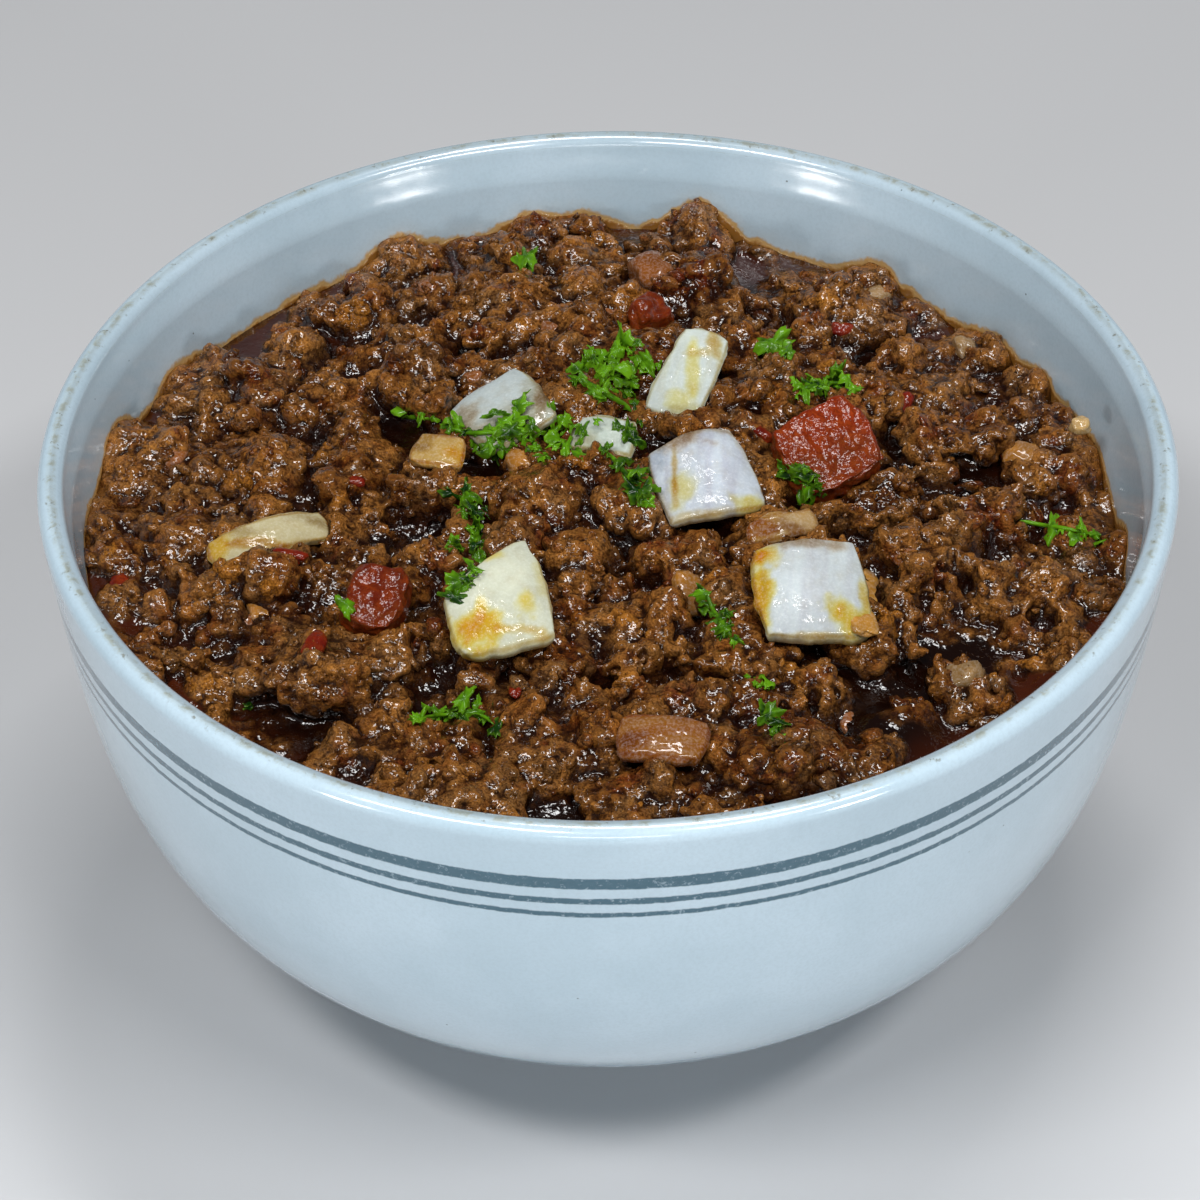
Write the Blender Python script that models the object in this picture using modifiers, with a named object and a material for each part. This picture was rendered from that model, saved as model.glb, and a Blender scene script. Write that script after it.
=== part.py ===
"""Chili con carne in its stoneware bowl, with diced onion and tomato on top.

Units are metres, +Z is up, and the origin is the centre of the foot ring's resting plane.
Nodes: bowl, chili, onion_1 to onion_10, tomato_1 to tomato_3.
"""

import math
import random

import bmesh
import bpy
from mathutils import Euler, Matrix, Vector, noise

MM = 0.001

# Bowl
BOWL_HEIGHT = 80.5 * MM
LIP_THICKNESS = 3.6 * MM
FLOOR_THICKNESS = 10.5 * MM
FOOT_RADIUS = 30.0 * MM
FOOT_WIDTH = 5.0 * MM
FOOT_HEIGHT = 8.0 * MM
FOOT_RECESS = 4.5 * MM
FOOT_EDGE = 0.8 * MM
# Radius at the lip, straight taper per unit of depth, and the drop at which the wall turns in
OUTSIDE = (76.2 * MM, 0.107, 76.0 * MM)
INSIDE = (72.7 * MM, 0.16, 73.0 * MM)
BODY_POWERS = (4.0, 2.56)
BOWL_STEPS = 56
INSIDE_ROWS = 7
OUTSIDE_ROWS = 9
LIP_ROWS = 6

# Chili
GAP = 0.3 * MM
FILL_DEPTH = 15.5 * MM
FILL_SLOPE = (-0.020, 0.030)
FILL_RADIUS = 70.0 * MM
MOUND_HEIGHT = 4.6 * MM
CLUMP_CELL = 13.0 * MM
CLUMP_HEIGHT = 4.4 * MM
SWELL_HEIGHT = 1.6 * MM
TOP_LIMIT = 5.6 * MM
TOP_GRID = 37
CHILI_SEED = 11

# Hollows where sauce gathers: x, y, radius, depth in millimetres
HOLLOWS = (
    (46, -20, 8.0, 4.0),
    (48, 10, 7.0, 4.0),
    (62, 8, 5.0, 4.0),
    (-25, -1, 6.0, 3.0),
    (-1, -31, 4.5, 3.5),
    (7, -31, 4.5, 3.5),
    (-36, -47, 7.0, 2.5),
    (-49, 15, 9.0, 2.5),
    (36, -39, 8.0, 2.5),
    (-53, -36, 7.0, 3.0),
)

# Onion pieces in millimetres and degrees:
# centre from the rim, (width, depth, thickness), bend radius,
# (taper, flare, slant) of the outline, (tilt X, roll Y, turn Z)
ONIONS = {
    "onion_1": ((-14.3, 19.8, -9.4), (13.4, 12.4, 2.2), 20, (-0.10, -0.15, 0.0), (14, -4, -60)),
    "onion_2": ((11.5, 28.0, -9.8), (7.8, 15.0, 2.6), 16, (0.18, 0.0, 0.1), (24, 6, -17)),
    "onion_3": ((13.0, 4.0, -8.9), (13.6, 14.2, 2.8), 14, (0.10, 0.16, 0.0), (16, -3, 18)),
    "onion_4": ((26.6, -19.6, -9.8), (15.0, 16.2, 3.2), 24, (0.04, 0.06, 0.0), (15, 3, 7)),
    "onion_5": ((-14.6, -23.0, -9.0), (14.6, 14.0, 3.4), 24, (-0.05, 0.56, 0.3), (16, -4, 32)),
    "onion_6": ((-45.4, -4.4, -11.8), (17.2, 5.6, 2.0), 18, (-0.10, 0.0, 0.0), (18, 4, 28)),
    "onion_7": ((-23.0, 11.4, -10.0), (7.4, 5.9, 2.0), 14, (0.20, 0.0, 0.0), (10, 0, -14)),
    "onion_8": ((-0.5, 14.0, -9.6), (9.0, 6.2, 2.0), 16, (0.26, 0.0, 0.0), (16, -4, -16)),
    "onion_9": ((6.6, -45.6, -12.4), (11.5, 7.0, 2.6), 18, (-0.08, 0.0, 0.0), (10, 0, -9)),
    "onion_10": ((23.2, -5.6, -9.8), (10.0, 3.8, 1.8), 16, (0.06, 0.0, 0.0), (30, 0, 19)),
}

# Tomato pieces in millimetres and degrees: centre from the rim, size, rotation
TOMATOES = {
    "tomato_1": ((30.0, 12.6, -11.0), (13.0, 11.6, 9.5), (12, -8, 28)),
    "tomato_2": ((6.2, 43.4, -10.8), (5.4, 5.0, 5.6), (10, 12, 30)),
    "tomato_3": ((-30.8, -18.4, -11.6), (7.6, 9.8, 6.8), (8, 6, -15)),
}

PIECE_GRID = 4
PIECE_EDGE = 0.55 * MM
SEAT_SWEEP = 30.0 * MM
CUTTER_TOP = 20.0 * MM


def clear_scene():
    for old in list(bpy.data.objects):
        bpy.data.objects.remove(old, do_unlink=True)


def make_collection(name):
    collection = bpy.data.collections.new(name)
    bpy.context.scene.collection.children.link(collection)
    return collection


def make_material(name, colour, roughness):
    material = bpy.data.materials.new(name)
    material.use_nodes = True
    shader = material.node_tree.nodes["Principled BSDF"]
    shader.inputs["Base Color"].default_value = (*colour, 1.0)
    shader.inputs["Roughness"].default_value = roughness
    shader.inputs["Metallic"].default_value = 0.0
    material.diffuse_color = (*colour, 1.0)
    return material


def add_object(name, mesh, collection, material=None):
    new_object = bpy.data.objects.new(name, mesh)
    collection.objects.link(new_object)
    if material is not None:
        mesh.materials.append(material)
    return new_object


def smooth_step(value):
    value = min(max(value, 0.0), 1.0)
    return value * value * (3.0 - 2.0 * value)


def wall_radius(side, depth):
    """Radius of the bowl's outside or inside at a depth under the rim: a tapered superellipse."""
    lip, taper, drop = side
    share = (depth / drop) ** BODY_POWERS[0]
    return lip * (1.0 - share) ** (1.0 / BODY_POWERS[1]) - taper * depth


def wall_rows():
    """Inside wall points from TOP_LIMIT down to the floor, shared by the bowl and the chili."""
    floor_depth = BOWL_HEIGHT - FLOOR_THICKNESS
    rows = []
    for index in range(INSIDE_ROWS + 1):
        angle = 0.5 * math.pi * index / INSIDE_ROWS
        depth = TOP_LIMIT + (floor_depth - TOP_LIMIT) * math.sin(angle)
        rows.append((wall_radius(INSIDE, depth), BOWL_HEIGHT - depth))
    return rows


def bowl_profile():
    """(radius, height) points: up the inside, over the lip, down the outside, under the foot."""
    half = 0.5 * LIP_THICKNESS
    points = [(0.0, FLOOR_THICKNESS)]
    points += reversed(wall_rows())
    points.append((wall_radius(INSIDE, half), BOWL_HEIGHT - half))
    lip_centre = wall_radius(OUTSIDE, half) - half
    for index in range(1, LIP_ROWS):
        angle = math.pi * (1.0 - index / LIP_ROWS)
        points.append((lip_centre + half * math.cos(angle), BOWL_HEIGHT - half + half * math.sin(angle)))
    foot_depth = BOWL_HEIGHT - FOOT_HEIGHT
    for index in range(OUTSIDE_ROWS + 1):
        angle = 0.5 * math.pi * index / OUTSIDE_ROWS
        depth = half + (foot_depth - half) * math.sin(angle)
        points.append((wall_radius(OUTSIDE, depth), BOWL_HEIGHT - depth))
    inner_foot = FOOT_RADIUS - FOOT_WIDTH
    points += [
        (FOOT_RADIUS, FOOT_EDGE),
        (FOOT_RADIUS - FOOT_EDGE, 0.0),
        (inner_foot + FOOT_EDGE, 0.0),
        (inner_foot, FOOT_RECESS),
        (0.0, FOOT_RECESS),
    ]
    return points


def turned_object(name, profile, collection, material=None):
    """A profile in the XZ plane, turned about Z by a Screw modifier."""
    mesh = bpy.data.meshes.new(name)
    verts = [(radius, 0.0, height) for radius, height in profile]
    edges = [(index, index + 1) for index in range(len(profile) - 1)]
    mesh.from_pydata(verts, edges, [])
    turned = add_object(name, mesh, collection, material)
    screw = turned.modifiers.new("turn", "SCREW")
    screw.axis = "Z"
    screw.steps = BOWL_STEPS
    screw.render_steps = BOWL_STEPS
    screw.use_merge_vertices = True
    screw.merge_threshold = 0.00001
    screw.use_smooth_shade = True
    return turned


def make_bowl(collection):
    glaze = make_material("glazed stoneware", (0.46, 0.57, 0.66), 0.18)
    return turned_object("bowl", bowl_profile(), collection, glaze)


def chili_profile():
    """The bowl's inside less the gap, closed by a flat top above every clump."""
    points = [(0.0, BOWL_HEIGHT - TOP_LIMIT)]
    points += [(radius - GAP, height) for radius, height in wall_rows()[:-1]]
    floor_radius = wall_rows()[-1][0]
    points.append((floor_radius - GAP, FLOOR_THICKNESS + GAP))
    points.append((0.0, FLOOR_THICKNESS + GAP))
    return points


def clump_relief(x, y):
    """Rounded clumps of mince over slow swells, as a height above the fill level."""
    place = Vector((x / CLUMP_CELL, y / CLUMP_CELL, CHILI_SEED))
    distances, _ = noise.voronoi(place)
    clump = 1.0 - smooth_step(distances[0] / 0.72)
    swell = noise.noise(Vector((x / (26.0 * MM), y / (26.0 * MM), 2.0 * CHILI_SEED)))
    return CLUMP_HEIGHT * (clump - 0.45) + SWELL_HEIGHT * swell


def chili_height(x, y):
    """Height of the chili's surface above the table."""
    radius = math.hypot(x, y) / FILL_RADIUS
    height = BOWL_HEIGHT - FILL_DEPTH + FILL_SLOPE[0] * x + FILL_SLOPE[1] * y
    height += MOUND_HEIGHT * (1.0 - min(radius, 1.0) ** 2)
    height += clump_relief(x, y)
    for hollow_x, hollow_y, hollow_radius, hollow_depth in HOLLOWS:
        distance = math.hypot(x - hollow_x * MM, y - hollow_y * MM) / (hollow_radius * MM)
        height -= hollow_depth * MM * (1.0 - smooth_step(distance))
    return min(height, BOWL_HEIGHT - TOP_LIMIT - 0.4 * MM)


def make_relief_cutter(collection):
    """A block over the bowl whose underside is the chili's surface."""
    mesh = bpy.data.meshes.new("relief_cutter")
    shape = bmesh.new()
    bmesh.ops.create_grid(shape, x_segments=TOP_GRID, y_segments=TOP_GRID, size=INSIDE[0])
    rng = random.Random(CHILI_SEED)
    jitter = 0.25 * 2.0 * INSIDE[0] / TOP_GRID
    for vert in shape.verts:
        vert.co.x += rng.uniform(-jitter, jitter)
        vert.co.y += rng.uniform(-jitter, jitter)
        vert.co.z = chili_height(vert.co.x, vert.co.y)
    bmesh.ops.triangulate(shape, faces=shape.faces)
    raised = bmesh.ops.extrude_face_region(shape, geom=list(shape.faces))
    for item in raised["geom"]:
        if isinstance(item, bmesh.types.BMVert):
            item.co.z = BOWL_HEIGHT + CUTTER_TOP
    bmesh.ops.recalc_face_normals(shape, faces=shape.faces)
    shape.to_mesh(mesh)
    shape.free()
    return add_object("relief_cutter", mesh, collection)


def piece_matrix(centre, rotation):
    place = Vector((centre[0] * MM, centre[1] * MM, BOWL_HEIGHT + centre[2] * MM))
    turn = Euler([math.radians(angle) for angle in rotation], "XYZ")
    return Matrix.Translation(place) @ turn.to_matrix().to_4x4()


def onion_mesh(name, size, bend, outline):
    """A diced layer of onion: a bent, tapered sheet with rounded corners, to be thickened."""
    taper, flare, slant = outline
    mesh = bpy.data.meshes.new(name)
    sheet = bmesh.new()
    bmesh.ops.create_grid(sheet, x_segments=PIECE_GRID, y_segments=PIECE_GRID, size=1.0)
    for vert in sheet.verts:
        across, along = vert.co.x, vert.co.y
        corner = 1.0 - 0.10 * (across * along) ** 2
        x = 0.5 * size[0] * across * (1.0 - 0.5 * taper * along) * corner
        y = 0.5 * size[1] * along * (1.0 + 0.5 * flare * across) * corner
        x += slant * y
        vert.co = Vector((x, y, 0.3 * size[2] - (x * x + 0.3 * y * y) / (2.0 * bend))) * MM
    sheet.to_mesh(mesh)
    sheet.free()
    return mesh


def make_onion(name, spec, collection, material):
    centre, size, bend, outline, rotation = spec
    onion = add_object(name, onion_mesh(name, size, bend, outline), collection, material)
    onion.matrix_world = piece_matrix(centre, rotation)
    thicken = onion.modifiers.new("thicken", "SOLIDIFY")
    thicken.thickness = size[2] * MM
    thicken.offset = 0.0
    soften = onion.modifiers.new("soften", "BEVEL")
    soften.width = PIECE_EDGE
    soften.segments = 1
    soften.limit_method = "ANGLE"
    soften.angle_limit = math.radians(50)
    return onion


def make_tomato(name, spec, collection, material):
    """A cooked tomato dice: a cube drawn towards a ball, its faces slumped by noise."""
    centre, size, rotation = spec
    mesh = bpy.data.meshes.new(name)
    chunk = bmesh.new()
    bmesh.ops.create_cube(chunk, size=2.0)
    bmesh.ops.subdivide_edges(chunk, edges=chunk.edges, cuts=3, use_grid_fill=True)
    for vert in chunk.verts:
        ball = vert.co.normalized() * 1.18
        slump = 1.0 + 0.10 * noise.noise(vert.co * 1.1 + Vector(centre))
        soft = vert.co.lerp(ball, 0.42) * slump
        vert.co = Vector((soft.x * size[0], soft.y * size[1], soft.z * size[2])) * 0.5 * MM
    chunk.to_mesh(mesh)
    chunk.free()
    tomato = add_object(name, mesh, collection, material)
    tomato.matrix_world = piece_matrix(centre, rotation)
    mesh.shade_smooth()
    return tomato


def make_seat(piece, collection):
    """The room a piece takes in the chili: its hull grown by the gap and swept upwards."""
    depsgraph = bpy.context.evaluated_depsgraph_get()
    source = piece.evaluated_get(depsgraph)
    solid = source.to_mesh()
    middle = sum((vert.co for vert in solid.vertices), Vector()) / len(solid.vertices)
    seat = bmesh.new()
    for vert in solid.vertices:
        arm = vert.co - middle
        grown = middle + arm + arm.normalized() * 1.9 * GAP
        place = piece.matrix_world @ grown
        seat.verts.new(place)
        seat.verts.new(place + Vector((0.0, 0.0, SEAT_SWEEP)))
    source.to_mesh_clear()
    hull = bmesh.ops.convex_hull(seat, input=seat.verts)
    loose = {item for item in hull["geom_interior"] + hull["geom_unused"]
             if isinstance(item, bmesh.types.BMVert)}
    bmesh.ops.delete(seat, geom=list(loose), context="VERTS")
    bmesh.ops.recalc_face_normals(seat, faces=seat.faces)
    mesh = bpy.data.meshes.new(piece.name + "_seat")
    seat.to_mesh(mesh)
    seat.free()
    return add_object(piece.name + "_seat", mesh, collection)


def make_chili(collection, cutters, pieces):
    meat = make_material("mince in sauce", (0.15, 0.045, 0.016), 0.35)
    chili = turned_object("chili", chili_profile(), collection, meat)
    tools = [make_relief_cutter(cutters)]
    bpy.context.view_layer.update()
    tools += [make_seat(piece, cutters) for piece in pieces]
    for tool in tools:
        tool.hide_render = True
        tool.display_type = "WIRE"
        cut = chili.modifiers.new("cut_" + tool.name, "BOOLEAN")
        cut.operation = "DIFFERENCE"
        cut.solver = "EXACT"
        cut.object = tool
    return chili


def main():
    clear_scene()
    parts = make_collection("chili con carne")
    cutters = make_collection("cutters")
    onion = make_material("onion", (0.78, 0.72, 0.58), 0.25)
    soaked_onion = make_material("onion soaked in sauce", (0.38, 0.15, 0.05), 0.3)
    tomato = make_material("tomato", (0.42, 0.06, 0.03), 0.22)
    make_bowl(parts)
    pieces = []
    for name, spec in ONIONS.items():
        finish = soaked_onion if name == "onion_9" else onion
        pieces.append(make_onion(name, spec, parts, finish))
    for name, spec in TOMATOES.items():
        pieces.append(make_tomato(name, spec, parts, tomato))
    make_chili(parts, cutters, pieces)


main()
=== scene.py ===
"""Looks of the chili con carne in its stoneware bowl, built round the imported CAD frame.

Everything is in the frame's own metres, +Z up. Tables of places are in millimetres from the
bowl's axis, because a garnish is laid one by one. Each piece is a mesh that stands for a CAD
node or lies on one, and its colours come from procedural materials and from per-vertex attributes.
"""

import math

import bmesh
import bpy
import numpy as np
from mathutils import Euler, Matrix, Vector
from mathutils.bvhtree import BVHTree


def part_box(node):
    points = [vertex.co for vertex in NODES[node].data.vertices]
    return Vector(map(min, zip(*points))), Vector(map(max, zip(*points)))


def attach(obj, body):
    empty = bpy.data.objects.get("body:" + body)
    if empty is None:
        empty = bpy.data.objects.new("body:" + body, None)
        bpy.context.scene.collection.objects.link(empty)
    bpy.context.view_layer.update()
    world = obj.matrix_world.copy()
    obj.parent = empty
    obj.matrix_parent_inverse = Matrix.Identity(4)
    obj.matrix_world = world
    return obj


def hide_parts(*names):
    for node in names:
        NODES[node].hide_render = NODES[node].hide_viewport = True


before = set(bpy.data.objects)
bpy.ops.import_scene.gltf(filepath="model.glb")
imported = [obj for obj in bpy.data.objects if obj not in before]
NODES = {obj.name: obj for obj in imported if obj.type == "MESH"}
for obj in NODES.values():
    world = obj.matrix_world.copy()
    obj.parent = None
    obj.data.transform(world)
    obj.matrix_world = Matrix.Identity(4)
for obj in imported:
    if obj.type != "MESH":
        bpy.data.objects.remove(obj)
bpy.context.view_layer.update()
ONION_NAMES = sorted(name for name in NODES if name.startswith("onion"))
TOMATO_NAMES = sorted(name for name in NODES if name.startswith("tomato"))
SOAKED_ONION = "onion_9"

MM = 0.001
SEED = 20

RIM_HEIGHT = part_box("bowl")[1].z
RIM_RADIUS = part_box("bowl")[1].x

# Camera, from the middle of the rim
CAMERA_ELEVATION = math.radians(38.03)
CAMERA_DISTANCE = 7.906 * RIM_RADIUS
CAMERA_LENS_MM = 135.0
CAMERA_SENSOR_MM = 36.0
CAMERA_ROLL = math.radians(-0.61)
CAMERA_CLIP = 10.0 * MM
CAMERA_AIM = Vector((-1.2, 0.0, -26.8)) * MM


# ---------------------------------------------------------------- noise and small helpers

def random_lattice(seed, size=40):
    return np.random.default_rng(seed).random((size, size, size)).astype(np.float32) * 2.0 - 1.0


LATTICE = random_lattice(SEED)


def value_noise(points, scale, offset=0.0):
    """Smooth noise from -1 to 1 at points (n, 3), with features about scale across."""
    place = points / scale + offset + 7.3
    cell = np.floor(place).astype(np.int64)
    part = (place - cell).astype(np.float32)
    part = part * part * (3.0 - 2.0 * part)
    size = LATTICE.shape[0]
    total = np.zeros(len(points), np.float32)
    for corner in range(8):
        step = np.array([corner & 1, corner >> 1 & 1, corner >> 2 & 1])
        index = (cell + step) % size
        weight = np.prod(np.where(step == 1, part, 1.0 - part), axis=1)
        total += weight * LATTICE[index[:, 0], index[:, 1], index[:, 2]]
    return total


def layered_noise(points, scale, octaves, offset=0.0):
    """Value noise with finer layers added, each at half the size and height."""
    total = np.zeros(len(points), np.float32)
    height = 1.0
    for octave in range(octaves):
        total += height * value_noise(points, scale / 2.0 ** octave, offset + 3.7 * octave)
        height *= 0.5
    return total


def cell_noise(points, scale, seed=0):
    """Rounded grains: 1 at the middle of a grain and 0 where two meet, about scale apart."""
    place = points / scale + 11.0
    base = np.floor(place).astype(np.int64)
    nearest = np.full(len(points), 9.0)
    second = np.full(len(points), 9.0)
    size = LATTICE.shape[0]
    for step in np.ndindex(3, 3, 3):
        cell = base + np.array(step) - 1
        spot = cell.astype(float)
        for axis in range(3):
            index = (cell + 5 * axis + seed) % size
            spot[:, axis] += 0.5 + 0.42 * LATTICE[index[:, 0], index[:, 1], index[:, 2]]
        distance = np.linalg.norm(place - spot, axis=1)
        second = np.minimum(second, np.maximum(distance, nearest))
        nearest = np.minimum(nearest, distance)
    return smooth_step(second - nearest, 0.0, 0.55)


def spline_weights(count, places):
    """Matrix that reads a row of count values at fractional places with a cubic B-spline."""
    base = np.floor(places).astype(int)
    part = places - base
    weights = np.zeros((len(places), count), np.float32)
    rows = np.arange(len(places))
    cubic = (
        (1 - part) ** 3 / 6,
        (3 * part ** 3 - 6 * part ** 2 + 4) / 6,
        (-3 * part ** 3 + 3 * part ** 2 + 3 * part + 1) / 6,
        part ** 3 / 6,
    )
    for shift, value in zip((-1, 0, 1, 2), cubic):
        np.add.at(weights, (rows, np.clip(base + shift, 0, count - 1)), value)
    return weights


def smooth_step(value, low=0.0, high=1.0):
    share = np.clip((value - low) / (high - low), 0.0, 1.0)
    return share * share * (3.0 - 2.0 * share)


def mesh_from(name, verts, faces, smooth=True):
    """A mesh from arrays: verts (n, 3) and faces (m, 3 or 4)."""
    mesh = bpy.data.meshes.new(name)
    corners = faces.shape[1]
    mesh.vertices.add(len(verts))
    mesh.vertices.foreach_set("co", np.ascontiguousarray(verts, np.float32).ravel())
    mesh.loops.add(faces.size)
    mesh.loops.foreach_set("vertex_index", np.ascontiguousarray(faces, np.int32).ravel())
    mesh.polygons.add(len(faces))
    mesh.polygons.foreach_set("loop_start", np.arange(0, faces.size, corners, dtype=np.int32))
    mesh.update(calc_edges=True)
    mesh.validate()
    if smooth:
        mesh.shade_smooth()
    return mesh


def read_vectors(items, key):
    """A vector property of a mesh's verts or polygons, as an array (n, 3)."""
    values = np.empty(len(items) * 3, np.float32)
    items.foreach_get(key, values)
    return values.reshape(-1, 3).astype(np.float64)


def mesh_points(mesh):
    return read_vectors(mesh.vertices, "co")


def mesh_normals(mesh):
    return read_vectors(mesh.vertex_normals, "vector")


def set_points(mesh, points):
    mesh.vertices.foreach_set("co", np.ascontiguousarray(points, np.float32).ravel())
    mesh.update()


def set_attributes(mesh, **attributes):
    for name, values in attributes.items():
        attribute = mesh.attributes.new(name, "FLOAT", "POINT")
        attribute.data.foreach_set("value", np.ascontiguousarray(values, np.float32))


def set_paint(mesh, colours):
    paint = mesh.attributes.new("paint", "FLOAT_COLOR", "POINT")
    flat = np.ones((len(colours), 4), np.float32)
    flat[:, :3] = colours
    paint.data.foreach_set("color", flat.ravel())


def add_object(name, data):
    thing = bpy.data.objects.new(name, data)
    bpy.context.scene.collection.objects.link(thing)
    return thing


def add_piece(name, mesh, material, replaced=()):
    piece = add_object(name, mesh)
    mesh.materials.clear()
    mesh.materials.append(material)
    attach(piece, "root")
    if replaced:
        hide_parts(*replaced)
    return piece


def modified(mesh, **modifiers):
    """What modifiers make of a mesh, each given as its kind and its settings. The mesh goes."""
    piece = add_object("scratch", mesh)
    for kind, settings in modifiers.items():
        modifier = piece.modifiers.new(kind, kind)
        for name, value in settings.items():
            setattr(modifier, name, value)
    bpy.context.view_layer.update()
    depsgraph = bpy.context.evaluated_depsgraph_get()
    made = bpy.data.meshes.new_from_object(piece.evaluated_get(depsgraph))
    bpy.data.objects.remove(piece)
    bpy.data.meshes.remove(mesh)
    return made


def surface_tree(meshes):
    """A BVH tree of several meshes together."""
    verts = []
    polygons = []
    for mesh in meshes:
        start = len(verts)
        verts += [vert.co.copy() for vert in mesh.vertices]
        polygons += [[start + index for index in polygon.vertices] for polygon in mesh.polygons]
    return BVHTree.FromPolygons(verts, polygons)


def cad_tree(names):
    return surface_tree([NODES[name].data for name in names])


def linear_rgb(colour):
    """A colour picked as 0 to 255 sRGB, as linear red, green and blue."""
    share = np.asarray(colour, float) / 255.0
    return np.where(share <= 0.04045, share / 12.92, ((share + 0.055) / 1.055) ** 2.4)


def srgb(*colour):
    """The same colour as the linear RGBA that shaders take."""
    return (*linear_rgb(colour), 1.0)


# ---------------------------------------------------------------- shader helpers

class Shader:
    """A material under construction: short calls that add and link nodes."""

    def __init__(self, name):
        self.material = bpy.data.materials.new(name)
        self.material.use_nodes = True
        self.nodes = self.material.node_tree.nodes
        self.links = self.material.node_tree.links
        self.surface = self.nodes["Principled BSDF"]
        self.place = self.nodes.new("ShaderNodeTexCoord").outputs["Object"]

    def put(self, socket, value):
        if isinstance(value, bpy.types.NodeSocket):
            self.links.new(value, socket)
        elif value is not None:
            socket.default_value = value

    def set(self, **values):
        """Sets or links inputs of the surface."""
        for name, value in values.items():
            self.put(self.surface.inputs[name.replace("_", " ")], value)

    def node(self, kind, inputs, **settings):
        """A new node with its settings, then its inputs, which are given by name or number."""
        made = self.nodes.new("ShaderNode" + kind)
        for name, value in settings.items():
            setattr(made, name, value)
        for key, value in inputs.items():
            self.put(made.inputs[key], value)
        return made

    def attribute(self, name, output="Fac"):
        return self.node("Attribute", {}, attribute_name=name).outputs[output]

    def height(self):
        return self.node("SeparateXYZ", {0: self.place}).outputs["Z"]

    def math(self, operation, first, second=None):
        return self.node("Math", {0: first, 1: second}, operation=operation).outputs[0]

    def plus(self, first, second):
        return self.math("ADD", first, second)

    def minus(self, first, second):
        return self.math("SUBTRACT", first, second)

    def times(self, first, second):
        return self.math("MULTIPLY", first, second)

    def most(self, first, second):
        return self.math("MAXIMUM", first, second)

    def noise(self, size_mm, detail=3.0, roughness=0.55):
        """Noise from 0 to 1, with features about size_mm across."""
        inputs = {"Vector": self.place, "Scale": 1.0 / (size_mm * MM), "Detail": detail,
                  "Roughness": roughness}
        return self.node("TexNoise", inputs).outputs["Fac"]

    def dots(self, spacing_mm):
        """Distance to the nearest of many scattered dots, in shares of their spacing."""
        inputs = {"Vector": self.place, "Scale": 1.0 / (spacing_mm * MM)}
        return self.node("TexVoronoi", inputs).outputs["Distance"]

    def ramp(self, value, low, high, start=0.0, end=1.0):
        """value from low to high becomes start to end, smoothly."""
        inputs = dict(enumerate((value, low, high, start, end)))
        return self.node("MapRange", inputs, interpolation_type="SMOOTHSTEP").outputs["Result"]

    def mix(self, share, first, second, blend="MIX"):
        made = self.node("Mix", {0: share}, data_type="RGBA", blend_type=blend)
        colours = [socket for socket in made.inputs if socket.type == "RGBA"]
        self.put(colours[0], first)
        self.put(colours[1], second)
        return next(socket for socket in made.outputs if socket.type == "RGBA")

    def coats(self, colour, *rows):
        """A colour with others laid over it. Each row is a share, a colour and how it blends."""
        for share, over, *blend in rows:
            colour = self.mix(share, colour, srgb(*over) if isinstance(over, tuple) else over, *blend)
        return colour

    def bump(self, height, distance_mm, strength=1.0, normal=None):
        inputs = {"Strength": strength, "Distance": distance_mm * MM, "Height": height, "Normal": normal}
        return self.node("Bump", inputs).outputs["Normal"]


# ---------------------------------------------------------------- bowl

BOWL_STEPS = 288
PROFILE_SPACING = 0.9 * MM
WALL_WAVE = 0.10 * MM
FOOT_HEIGHT = 9.0 * MM

# The glaze's bands as depths under the rim, the blur of their edges and how far these wander
BANDS = ((8.0 * MM, 10.0 * MM), (11.75 * MM, 12.85 * MM), (14.45 * MM, 15.3 * MM))
BAND_EDGE = 0.14 * MM
BAND_WOBBLE = 0.55 * MM


def bowl_chain():
    """The CAD bowl's profile: (radius, height) from the inside floor over the lip to the foot."""
    mesh = NODES["bowl"].data
    flat = 0.01 * MM
    keys = {}
    links = {}
    for vert in mesh.vertices:
        if abs(vert.co.y) < flat and vert.co.x > -flat:
            keys[vert.index] = (round(vert.co.x / MM, 2), round(vert.co.z / MM, 2))
    for edge in mesh.edges:
        first, second = edge.vertices
        if first in keys and second in keys and keys[first] != keys[second]:
            links.setdefault(keys[first], set()).add(keys[second])
            links.setdefault(keys[second], set()).add(keys[first])
    chain = [min(links, key=lambda key: key[0] + 9.0 * (key[1] < 8.0))]
    while True:
        fresh = [key for key in links[chain[-1]] if key not in chain]
        if not fresh:
            break
        chain.append(min(fresh, key=lambda key: math.dist(key, chain[-1])))
    middle = [(0.0, chain[0][1]), (0.5 * chain[0][0], chain[0][1])]
    return np.array([*middle, *chain, (0.0, chain[-1][1])]) * MM


def curve_through(points, steps):
    """Catmull-Rom curve through the wall's points, straight runs through the foot's."""
    curve = [points[0]]
    for index in range(len(points) - 1):
        start, end = points[index], points[index + 1]
        wall = index > 0 and index + 2 < len(points) and min(start[1], end[1]) > FOOT_HEIGHT
        for share in np.linspace(0.0, 1.0, steps + 1)[1:]:
            straight = start + share * (end - start)
            if not wall:
                curve.append(straight)
                continue
            before, after = points[index - 1], points[index + 2]
            run = np.linalg.norm(end - start)
            enter = (end - before) / (np.linalg.norm(start - before) + run) * run
            leave = (after - start) / (np.linalg.norm(after - end) + run) * run
            cube, square = share ** 3, share ** 2
            curve.append((2 * cube - 3 * square + 1) * start + (cube - 2 * square + share) * enter
                         + (3 * square - 2 * cube) * end + (cube - square) * leave)
    return np.array(curve)


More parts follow.
